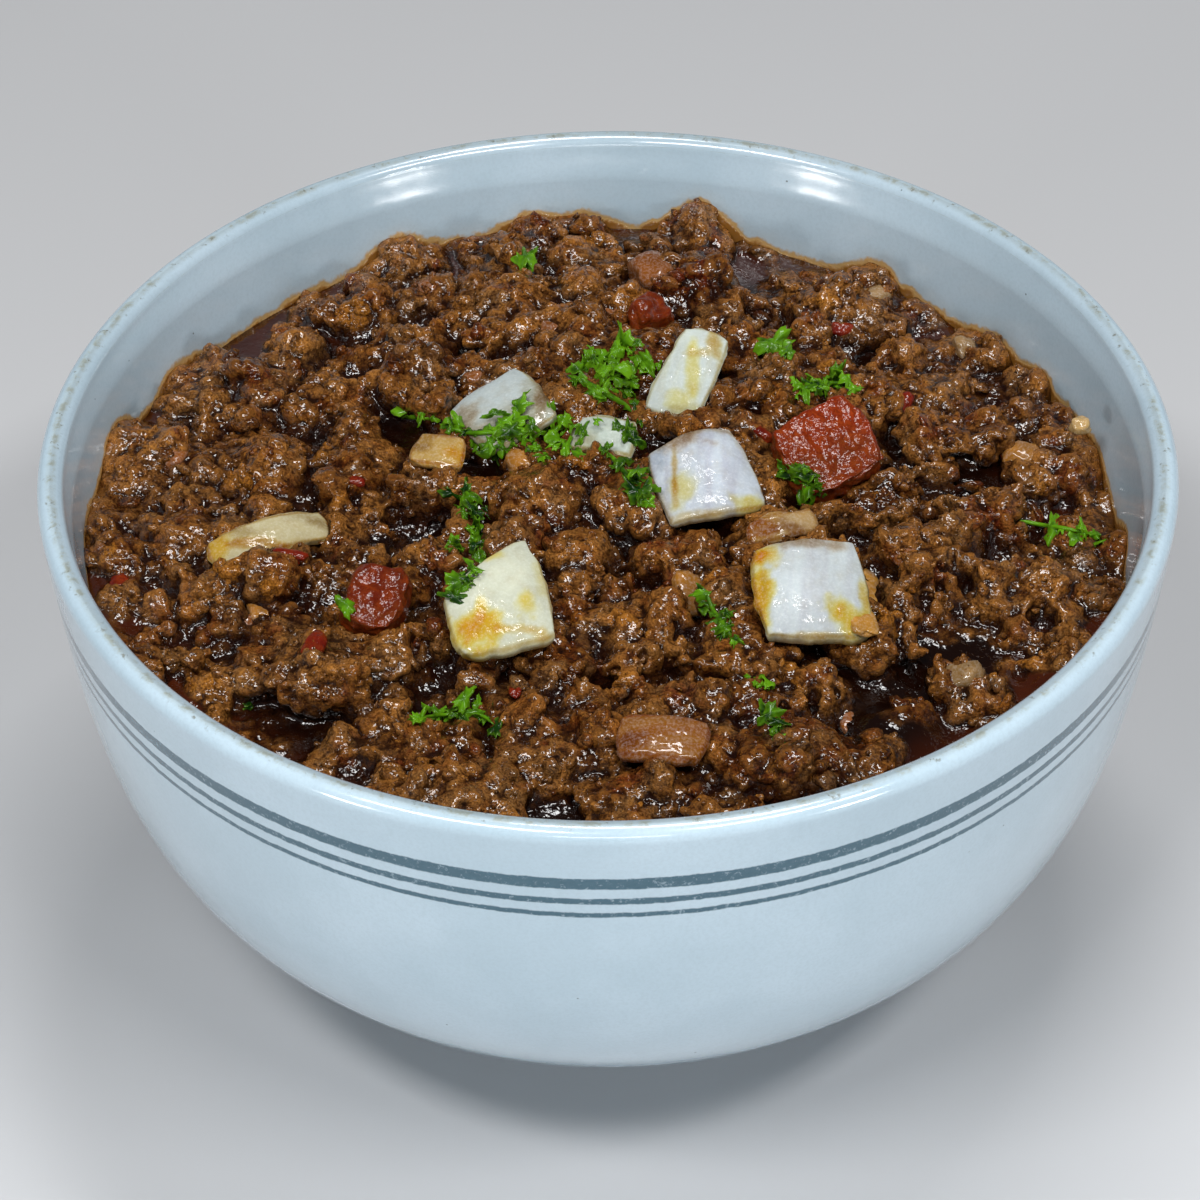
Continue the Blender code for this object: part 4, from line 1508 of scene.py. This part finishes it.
def build_grains(name, chili_mesh, terrain, grid, fields, seed, count, low, high, sink, subdivisions):
    """Loose grains of mince, partly sunk in the chili's surface."""
    rng = np.random.default_rng(seed)

    def keep(centres, normals):
        reach = np.hypot(centres[:, 0], centres[:, 1])
        dry = 1.0 - smooth_step(read_grid(grid, fields["sauce"], centres), 0.15, 0.45)
        up = smooth_step(normals[:, 2], -0.1, 0.3)
        inside = reach < inner_radius(centres[:, 2]) - high
        clear = centres[:, 2] + high < terrain.limit(centres[:, 0], centres[:, 1]) + 0.5 * MM
        return dry * up * inside * clear + 1e-9

    spots, normals = surface_samples(chili_mesh, count, rng, keep)
    size = low + (high - low) * rng.random(count) ** 2.0
    spots = spots + normals * (size * rng.uniform(-sink, 0.0, count))[:, None]
    balls, faces = template_balls(subdivisions, GRAIN_SHAPES, 0.55, seed)
    radii = size[:, None] * rng.uniform(0.5, 1.45, (count, 3))
    pick = rng.integers(0, len(balls), count)
    verts, triangles = copies(balls, faces, pick, radii, random_rotations(rng, count), spots)
    mesh = mesh_from(name, verts, triangles)
    tone = read_grid(grid, fields["tone"], spots) + rng.normal(0.0, 0.45, count)
    hue = read_grid(grid, fields["hue"], spots) + rng.normal(0.0, 0.5, count)
    each = balls.shape[1]
    dry = np.zeros(len(verts))
    set_attributes(mesh, tone=np.repeat(tone, each), hue=np.repeat(hue, each), sauce=dry, film=dry,
                   crease=dry - 0.05 * MM)
    return mesh


# ---------------------------------------------------------------- parsley

# Places of chopped parsley: right, behind, spread, leaflets, brightness (0 dark, 1 bright); the
# brightness is partly the leaves' own tone and partly painted light and shade
PARSLEY = (
    (-3.0, 26.3, 1.6, 5, 0.55), (-0.9, 28.6, 1.5, 5, 0.7), (1.9, 30.0, 1.5, 5, 0.75),
    (4.4, 28.5, 1.5, 5, 0.65), (5.6, 26.2, 1.3, 4, 0.6), (0.6, 25.6, 1.6, 5, 0.8),
    (0.4, 23.3, 1.4, 4, 0.5), (-1.0, 20.6, 1.3, 3, 0.45), (3.4, 23.6, 1.4, 4, 0.7),
    (3.0, 20.0, 1.1, 3, 0.35), (-4.4, 23.6, 1.1, 3, 0.5), (2.6, 17.6, 1.0, 2, 0.3),
    (-26.4, 16.9, 1.1, 3, 0.8), (-24.2, 15.6, 1.1, 3, 0.6), (-21.8, 13.6, 1.0, 3, 0.5),
    (-18.7, 11.8, 1.4, 4, 0.5), (-15.8, 12.9, 1.4, 4, 0.65), (-14.0, 14.6, 1.3, 4, 0.7),
    (-13.0, 10.4, 1.4, 4, 0.5), (-16.2, 9.4, 1.2, 3, 0.45), (-10.5, 11.4, 1.5, 5, 0.8),
    (-7.6, 12.6, 1.4, 5, 0.8), (-4.8, 13.9, 1.3, 4, 0.75), (-2.4, 12.9, 1.2, 3, 0.65),
    (-6.5, 8.9, 1.4, 4, 0.8), (-4.2, 7.2, 1.2, 3, 0.7), (-8.5, 6.4, 1.0, 3, 0.45),
    (-14.6, 7.3, 0.9, 2, 0.4), (-12.6, 17.4, 0.9, 2, 0.6), (-9.4, 8.6, 1.2, 3, 0.6),
    (0.1, 7.6, 1.0, 3, 0.45), (1.8, 4.7, 1.1, 3, 0.35), (3.3, 1.8, 1.1, 4, 0.4),
    (4.3, -0.9, 1.0, 3, 0.3), (4.9, -2.8, 0.8, 2, 0.45),
    (3.4, 13.1, 1.0, 3, 0.4), (4.3, 10.8, 0.9, 2, 0.3),
    (-19.5, -0.9, 1.0, 3, 0.35), (-19.0, -3.6, 1.2, 4, 0.3), (-17.6, -5.4, 1.2, 4, 0.35),
    (-18.4, -7.9, 1.0, 3, 0.4), (-17.2, -10.2, 0.9, 3, 0.45), (-20.7, -12.0, 1.1, 3, 0.6),
    (-19.0, -12.8, 1.1, 4, 0.45), (-17.4, -13.8, 0.9, 3, 0.6),
    (-18.6, -17.9, 1.0, 4, 0.45), (-19.1, -20.2, 0.9, 3, 0.5), (-19.8, -22.2, 0.6, 2, 0.6),
    (-11.6, 52.6, 1.2, 4, 0.6),
    (23.5, 30.5, 1.2, 4, 0.6), (24.9, 31.6, 1.0, 3, 0.7), (25.2, 29.2, 1.0, 3, 0.5),
    (26.9, 21.0, 0.9, 3, 0.7), (28.8, 22.6, 1.0, 3, 0.6), (31.0, 23.2, 1.0, 4, 0.5),
    (33.2, 23.0, 0.9, 3, 0.75), (34.9, 22.0, 0.8, 2, 0.85),
    (23.7, 3.1, 0.9, 3, 0.5), (25.5, 3.4, 1.0, 4, 0.3), (27.0, 1.6, 1.1, 4, 0.3),
    (27.8, -0.4, 1.0, 3, 0.35), (25.9, -0.7, 0.9, 3, 0.45), (28.2, -2.4, 0.7, 2, 0.5),
    (12.7, -22.2, 0.8, 3, 0.45), (13.2, -24.9, 0.9, 3, 0.3), (14.2, -27.1, 0.9, 3, 0.3),
    (15.2, -29.6, 0.8, 3, 0.4), (16.4, -31.2, 0.6, 2, 0.6),
    (-34.4, -24.2, 0.8, 3, 0.8), (-46.0, -43.5, 0.6, 2, 0.3),
    (-24.1, -46.4, 0.8, 3, 0.7), (-22.2, -45.6, 0.8, 3, 0.6), (-20.2, -45.9, 0.9, 3, 0.5),
    (-18.4, -45.8, 0.9, 4, 0.45), (-16.6, -44.8, 0.8, 3, 0.5), (-15.8, -46.8, 0.8, 3, 0.5),
    (-14.2, -48.4, 0.6, 2, 0.4),
    (18.6, -39.7, 0.7, 2, 0.8), (19.9, -40.4, 0.8, 3, 0.8),
    (20.0, -46.8, 0.8, 3, 0.35), (20.8, -48.4, 0.8, 3, 0.25), (21.2, -50.2, 0.6, 2, 0.35),
    (60.2, -9.4, 0.7, 2, 0.8), (62.8, -10.5, 0.9, 3, 0.8), (65.0, -11.3, 0.7, 2, 0.7),
)

# Stems: radius, brightness (partly own tone, partly painted light and shade), then places right and behind
PARSLEY_STEMS = (
    (0.42, 0.6, ((-5.4, 25.0), (-3.0, 23.4), (-0.4, 21.0), (2.4, 18.2), (3.8, 15.8))),
    (0.34, 0.7, ((-21.5, 13.2), (-18.5, 12.0), (-15.0, 12.4), (-11.0, 11.2))),
    (0.36, 0.5, ((0.2, 7.4), (2.2, 3.4), (4.2, -1.4))),
    (0.30, 0.8, ((54.8, -7.9), (57.6, -8.9), (60.4, -9.5), (64.0, -11.0))),
    (0.32, 0.4, ((12.6, -22.0), (13.6, -26.2), (16.2, -31.2))),
    (0.26, 0.6, ((-24.4, -46.5), (-20.4, -45.8), (-16.4, -45.6), (-13.8, -49.0))),
    (0.30, 0.5, ((26.6, 21.0), (30.0, 23.0), (34.6, 22.2))),
    (0.30, 0.35, ((-19.6, -0.6), (-17.8, -5.6), (-17.4, -10.4))),
)
LEAF_RINGS = 4
LEAF_STEPS = 30
LEAF_THICKNESS = 0.13 * MM
STEM_LIFT = 0.5 * MM

# How far under the rim the tables of places lie
TOPPING_DEPTH = 7.5 * MM


def leaflet(rng, size):
    """One curly lobed leaflet, closed, about its own middle: verts and faces."""
    turn = np.arange(LEAF_STEPS) * 2.0 * math.pi / LEAF_STEPS
    phases = rng.uniform(0.0, 2.0 * math.pi, 5)
    outline = 0.62 + 0.24 * np.cos(3.0 * turn + phases[0]) * rng.uniform(0.6, 1.2)
    outline = outline + 0.20 * np.abs(np.cos(4.5 * turn + phases[1]))
    outline = outline + 0.07 * np.cos(13.0 * turn + phases[2])
    outline = np.maximum(outline, 0.22)
    curl = rng.uniform(0.25, 0.6)
    verts = [np.zeros((1, 3))]
    for ring in range(1, LEAF_RINGS + 1):
        share = ring / LEAF_RINGS
        reach = outline * share
        lift = 0.30 * share ** 2 * np.sin(4.0 * turn + phases[3])
        lift = lift + 0.16 * share ** 3 * np.sin(9.0 * turn + phases[4])
        lift = lift - curl * share ** 2 * outline
        narrow = rng.uniform(0.7, 1.0)
        verts.append(np.stack([np.cos(turn) * reach, np.sin(turn) * reach * narrow, lift], axis=1))
    top = np.vstack(verts) * size
    layer = len(top)
    under = top - np.array([0.0, 0.0, LEAF_THICKNESS])
    faces = []
    for step in range(LEAF_STEPS):
        after = (step + 1) % LEAF_STEPS
        faces.append((0, 1 + step, 1 + after))
        faces.append((layer, layer + 1 + after, layer + 1 + step))
        for ring in range(LEAF_RINGS - 1):
            a, b = 1 + ring * LEAF_STEPS + step, 1 + ring * LEAF_STEPS + after
            c, d = a + LEAF_STEPS, b + LEAF_STEPS
            faces += [(a, c, d), (a, d, b)]
            faces += [(layer + a, layer + d, layer + c), (layer + a, layer + b, layer + d)]
        edge = 1 + (LEAF_RINGS - 1) * LEAF_STEPS
        a, b = edge + step, edge + after
        faces += [(a, layer + a, layer + b), (a, layer + b, b)]
    share = np.concatenate([[0.0], np.repeat(np.arange(1, LEAF_RINGS + 1) / LEAF_RINGS, LEAF_STEPS)])
    drawn = np.array([rng.uniform(0.9, 1.7), rng.uniform(0.65, 1.0), 1.0])
    return np.vstack([top, under]) * drawn, np.array(faces), np.tile(share, 2)


def tube(path, radius, steps=8):
    """A closed round tube with pointed ends along a path of points."""
    path = np.array(path)
    rings = len(path)
    along = np.gradient(path, axis=0)
    along /= np.linalg.norm(along, axis=1)[:, None]
    side = np.cross(along, [0.0, 0.0, 1.0])
    side /= np.linalg.norm(side, axis=1)[:, None]
    up = np.cross(side, along)
    turn = np.arange(steps) * 2.0 * math.pi / steps
    thick = radius * np.sqrt(np.clip(1.05 - np.abs(np.linspace(-1.0, 1.0, rings)) ** 6, 0.05, 1.0))
    ring = np.cos(turn)[None, :, None] * side[:, None, :] + np.sin(turn)[None, :, None] * up[:, None, :]
    verts = (path[:, None, :] + thick[:, None, None] * ring).reshape(-1, 3)
    verts = np.vstack([verts, path[:1], path[-1:]])
    faces = []
    for step in range(steps):
        after = (step + 1) % steps
        for row in range(rings - 1):
            a, b = row * steps + step, row * steps + after
            faces += [(a, b, b + steps), (a, b + steps, a + steps)]
        faces.append((rings * steps, after, step))
        faces.append((rings * steps + 1, (rings - 1) * steps + step, (rings - 1) * steps + after))
    return verts, np.array(faces)


def sight(tree, right, behind):
    """The surface point seen over a place laid out at the toppings' level."""
    eye = bpy.context.scene.camera.location
    aim = Vector((right * MM, behind * MM, RIM_HEIGHT - TOPPING_DEPTH))
    point, normal, _, _ = tree.ray_cast(eye, (aim - eye).normalized())
    return (aim, Vector((0.0, 0.0, 1.0))) if point is None else (point, normal)


def parsley_material():
    shader = Shader("parsley")
    share = shader.attribute("share")
    patch = shader.times(shader.minus(shader.noise(1.6, 3.0), 0.5), 1.3)
    # brightness from each place: partly the parsley's own tone, partly painted light and shade
    tint = shader.ramp(shader.plus(shader.attribute("bright"), patch), 0.1, 0.9)
    colour = shader.coats(
        shader.mix(tint, srgb(12, 42, 4), srgb(88, 138, 14)),
        (shader.ramp(share, 0.6, 1.0, 0.0, 0.3), (112, 158, 26)),
        (shader.ramp(share, 0.0, 0.45, 0.3, 0.0), (24, 70, 12)),
    )
    skin = shader.bump(shader.noise(0.4, 2.0), 0.05, 0.6)
    shader.set(Base_Color=colour, Roughness=0.42, Normal=skin)
    shader.set(Coat_Weight=0.3, Coat_Roughness=0.13, IOR=1.42, Specular_IOR_Level=0.1)
    shader.set(Subsurface_Weight=0.12, Subsurface_Scale=0.5 * MM, Subsurface_Radius=(0.5, 1.0, 0.2))
    return shader.material


def turned_towards(way, angle):
    """A turn that takes +Z to a direction, after a turn about Z."""
    return np.array(Vector(way).to_track_quat("Z", "Y").to_matrix() @ Matrix.Rotation(angle, 3, "Z"))


class Heap:
    """Loose closed shapes that end up as one mesh."""

    def __init__(self):
        self.verts = []
        self.faces = []
        self.values = []
        self.count = 0

    def add(self, verts, faces, values):
        """A shape with a row of values for each vert."""
        self.verts.append(verts)
        self.faces.append(faces + self.count)
        self.values.append(values)
        self.count += len(verts)

    def mesh(self, name):
        return mesh_from(name, np.vstack(self.verts), np.vstack(self.faces))


def stem_path(tree, places):
    """A smooth path that lies on the chili under its places."""
    path = []
    for first, second in zip(places[:-1], places[1:]):
        for share in (0.0, 0.34, 0.67):
            right = first[0] + share * (second[0] - first[0])
            behind = first[1] + share * (second[1] - first[1])
            path.append(np.array(sight(tree, right, behind)[0]) + [0.0, 0.0, STEM_LIFT])
    path = np.array(path)
    path[1:-1] = 0.25 * path[:-2] + 0.5 * path[1:-1] + 0.25 * path[2:]
    return path


def build_parsley(tree):
    rng = np.random.default_rng(SEED + 5)
    heap = Heap()
    for right, behind, spread, count, bright in PARSLEY:
        for number in range(count):
            beside = right + rng.normal(0.0, 0.5 * spread)
            spot, normal = sight(tree, beside, behind + rng.normal(0.0, 0.6 * spread))
            size = (0.8 + 1.5 * rng.random() ** 1.6) * MM * (0.75 + 0.25 * spread)
            leaf, faces, share = leaflet(rng, size)
            way = np.array(normal) * 0.6 + np.array([0.0, -0.15, 0.55]) + rng.normal(0.0, 0.42, 3)
            turn = turned_towards(way, rng.uniform(0.0, 6.28))
            lift = (0.35 + 0.55 * number * min(spread, 1.3) * rng.uniform(0.3, 1.0)) * MM
            tint = np.full(len(leaf), bright + rng.normal(0.0, 0.14))
            leaf = leaf @ turn.T + np.array(spot) + np.array([0.0, 0.0, lift])
            heap.add(leaf, faces, np.stack([tint, share], 1))
    for radius, bright, places in PARSLEY_STEMS:
        stem, faces = tube(stem_path(tree, places), radius * MM)
        heap.add(stem, faces, np.tile([bright, 0.5], (len(stem), 1)))
    mesh = heap.mesh("parsley")
    brights, shares = np.vstack(heap.values).T
    set_attributes(mesh, bright=brights, share=shares)
    return add_piece("parsley_leaves", mesh, parsley_material())


# ---------------------------------------------------------------- bits of onion, tomato and skin

# Right, behind, half length, half width, half thickness, turn in degrees, colour
ONION_BITS = (
    (-19.1, 25.2, 1.6, 1.2, 1.0, 20, "amber"), (11.0, -21.3, 3.2, 2.4, 1.6, 80, "yellow"),
    (6.3, 51.5, 3.6, 2.6, 2.4, 10, "amber"), (45.5, 10.7, 2.4, 1.8, 1.6, 40, "amber"),
    (64.9, 13.8, 1.4, 1.2, 1.0, 0, "cream"), (-11.9, 8.3, 2.8, 2.2, 1.8, -20, "yellow"),
    (-25.2, 47.7, 1.8, 1.3, 1.1, 60, "amber"), (1.2, 40.1, 2.0, 1.2, 1.0, 100, "amber"),
    (37.9, 44.3, 2.6, 1.6, 1.2, -30, "clear"), (56.1, 7.3, 2.2, 1.8, 1.5, 15, "yellow"),
    (39.3, -13.8, 1.7, 1.4, 1.2, 50, "amber"), (45.0, -38.1, 2.4, 1.9, 1.6, 30, "clear"),
    (-45.7, -23.9, 1.8, 1.3, 1.1, -10, "yellow"), (-46.8, -26.9, 1.6, 1.2, 1.0, 20, "amber"),
    (34.6, -22.8, 3.6, 2.1, 0.5, 75, "flap"), (33.2, -27.4, 2.6, 1.9, 0.45, 20, "flap"),
    (50.4, 31.8, 2.0, 1.4, 1.0, 70, "clear"), (-8.2, 37.0, 1.6, 1.2, 1.0, 0, "amber"),
    (30.2, -47.0, 1.8, 1.3, 1.0, -40, "amber"), (-58.6, 8.4, 1.5, 1.1, 0.9, 30, "amber"),
)
BIT_COLOURS = {
    "amber": (118, 66, 20), "yellow": (146, 96, 30), "clear": (128, 98, 58), "cream": (168, 136, 84),
    "flap": (170, 120, 44), "skin": (104, 22, 10),
}
SKIN_BITS = (
    (-42.5, -12.6, 2.6, 0.8, 0.9, 10, "skin"), (21.0, 12.6, 1.8, 0.9, 0.8, -35, "skin"),
    (-64.4, -18.6, 1.5, 1.2, 0.8, 70, "skin"), (54.8, 7.3, 1.4, 0.9, 0.8, 20, "skin"),
    (41.1, 18.6, 2.0, 1.0, 0.8, 45, "skin"), (-34.6, 3.0, 1.8, 0.8, 0.7, -20, "skin"),
    (-38.0, -31.0, 2.0, 1.2, 0.9, 30, "skin"), (-12.0, -40.0, 1.6, 0.8, 0.7, 5, "skin"),
    (33.0, 36.0, 1.8, 1.0, 0.8, -15, "skin"),
)


def blocky(verts, power=3.0):
    """Draws a ball's verts towards a rounded block."""
    return verts / (np.abs(verts) ** power).sum(axis=1, keepdims=True) ** (1.0 / power)


def build_bits(tree, name, rows, material, sink):
    """Small lumpy blocks, each sunk into the surface by a share of its thickness."""
    rng = np.random.default_rng(SEED + len(rows))
    balls, faces = template_balls(3, len(rows), 0.0, 0)
    heap = Heap()
    for number, (right, behind, long, wide, thick, turn, colour) in enumerate(rows):
        ball = blocky(balls[number])
        lump = 1.0 + 0.30 * layered_noise(ball, 0.8, 3, number * 4.1)
        shape = ball * lump[:, None] * np.array([long, wide, thick]) * MM
        spot, normal = sight(tree, right, behind)
        lean = Vector(np.array(normal) * 0.5 + np.array([0.0, -0.2, 0.8]) + rng.normal(0.0, 0.15, 3))
        centre = np.array(spot) - np.array(lean.normalized()) * sink * thick * MM
        shade = 1.0 + 0.35 * layered_noise(ball, 0.8, 2, number * 2.7)
        paint = linear_rgb(BIT_COLOURS[colour])[None, :] * shade[:, None]
        heap.add(shape @ turned_towards(lean, math.radians(turn)).T + centre, faces, paint)
    mesh = heap.mesh(name)
    set_paint(mesh, np.clip(np.vstack(heap.values), 0.0, 1.0))
    return add_piece(name, mesh, material)


# ---------------------------------------------------------------- light, floor and camera

FLOOR_REACH = 3.0
LIGHT_COLOUR = (0.80, 0.87, 0.95, 1.0)
LIGHT_AROUND = 0.05

# Each soft box faces the middle of the rim: direction and height in degrees, then distance,
# width and height in metres, and power in watts
LIGHTS = {
    "lamp_left": (-135.0, 10.0, 0.8, 0.11, 0.11, 1.2),
    "lamp_right": (-48.5, 10.0, 0.8, 0.11, 0.11, 1.2),
    "key_left": (-124.0, 56.0, 0.9, 0.44, 0.12, 4.2),
    "key_right": (-50.0, 54.0, 0.9, 0.40, 0.11, 3.2),
    "overhead": (60.0, 80.0, 0.9, 0.36, 0.14, 3.6),
    "front": (-90.0, 24.0, 1.1, 0.34, 0.09, 1.0),
}


def build_stage():
    mesh = bpy.data.meshes.new("floor")
    corners = [(-FLOOR_REACH, -FLOOR_REACH, 0), (FLOOR_REACH, -FLOOR_REACH, 0),
               (FLOOR_REACH, FLOOR_REACH, 0), (-FLOOR_REACH, FLOOR_REACH, 0)]
    mesh.from_pydata(corners, [], [(0, 1, 2, 3)])
    floor = add_object("floor", mesh)
    shader = Shader("floor_paint")
    shader.set(Base_Color=srgb(196, 197, 199), Roughness=0.7)
    mesh.materials.append(shader.material)


def build_lights():
    world = bpy.data.worlds.new("studio")
    world.use_nodes = True
    background = world.node_tree.nodes["Background"]
    background.inputs["Color"].default_value = LIGHT_COLOUR
    background.inputs["Strength"].default_value = LIGHT_AROUND
    bpy.context.scene.world = world
    for name, (azimuth, elevation, distance, wide, high, power) in LIGHTS.items():
        turn, lift = math.radians(azimuth), math.radians(elevation)
        way = Vector((math.cos(turn) * math.cos(lift), math.sin(turn) * math.cos(lift), math.sin(lift)))
        data = bpy.data.lights.new(name, "AREA")
        data.shape = "RECTANGLE"
        data.size, data.size_y = wide, high
        data.energy = power
        lamp = add_object(name, data)
        lamp.location = Vector((0.0, 0.0, RIM_HEIGHT)) + distance * way
        lamp.rotation_euler = (-way).to_track_quat("-Z", "Y").to_euler()


def build_camera():
    centre = Vector((0.0, 0.0, RIM_HEIGHT))
    back = Vector((0.0, -math.cos(CAMERA_ELEVATION), math.sin(CAMERA_ELEVATION)))
    data = bpy.data.cameras.new("camera")
    data.lens = CAMERA_LENS_MM
    data.sensor_width = CAMERA_SENSOR_MM
    data.clip_start = CAMERA_CLIP
    camera = add_object("camera", data)
    camera.location = centre + CAMERA_DISTANCE * back
    view = centre + CAMERA_AIM - camera.location
    turn = view.to_track_quat("-Z", "Y").to_matrix() @ Matrix.Rotation(CAMERA_ROLL, 3, "Z")
    camera.rotation_euler = turn.to_euler()
    bpy.context.scene.camera = camera


# ---------------------------------------------------------------- the scene

build_camera()
build_lights()
build_stage()
chili_piece, wall_angles, wall_heights = build_chili()
build_bowl(wall_angles, wall_heights)
onion_finish = onion_material("cooked_onion", False)
soaked_finish = onion_material("soaked_onion", True)
tomato_finish = tomato_material()
pieces = [chili_piece]
for number, name in enumerate(ONION_NAMES):
    soaked = name == SOAKED_ONION
    finish = soaked_finish if soaked else onion_finish
    pieces.append(build_onion(name, number, finish))
for number, name in enumerate(TOMATO_NAMES):
    pieces.append(build_tomato(name, number, tomato_finish))
tops = surface_tree([piece.data for piece in pieces])
build_bits(tops, "onion_bits", ONION_BITS, soaked_finish, 0.75)
build_bits(tops, "skin_bits", SKIN_BITS, tomato_finish, 0.7)
build_parsley(tops)

bpy.context.scene.view_settings.view_transform = "Standard"
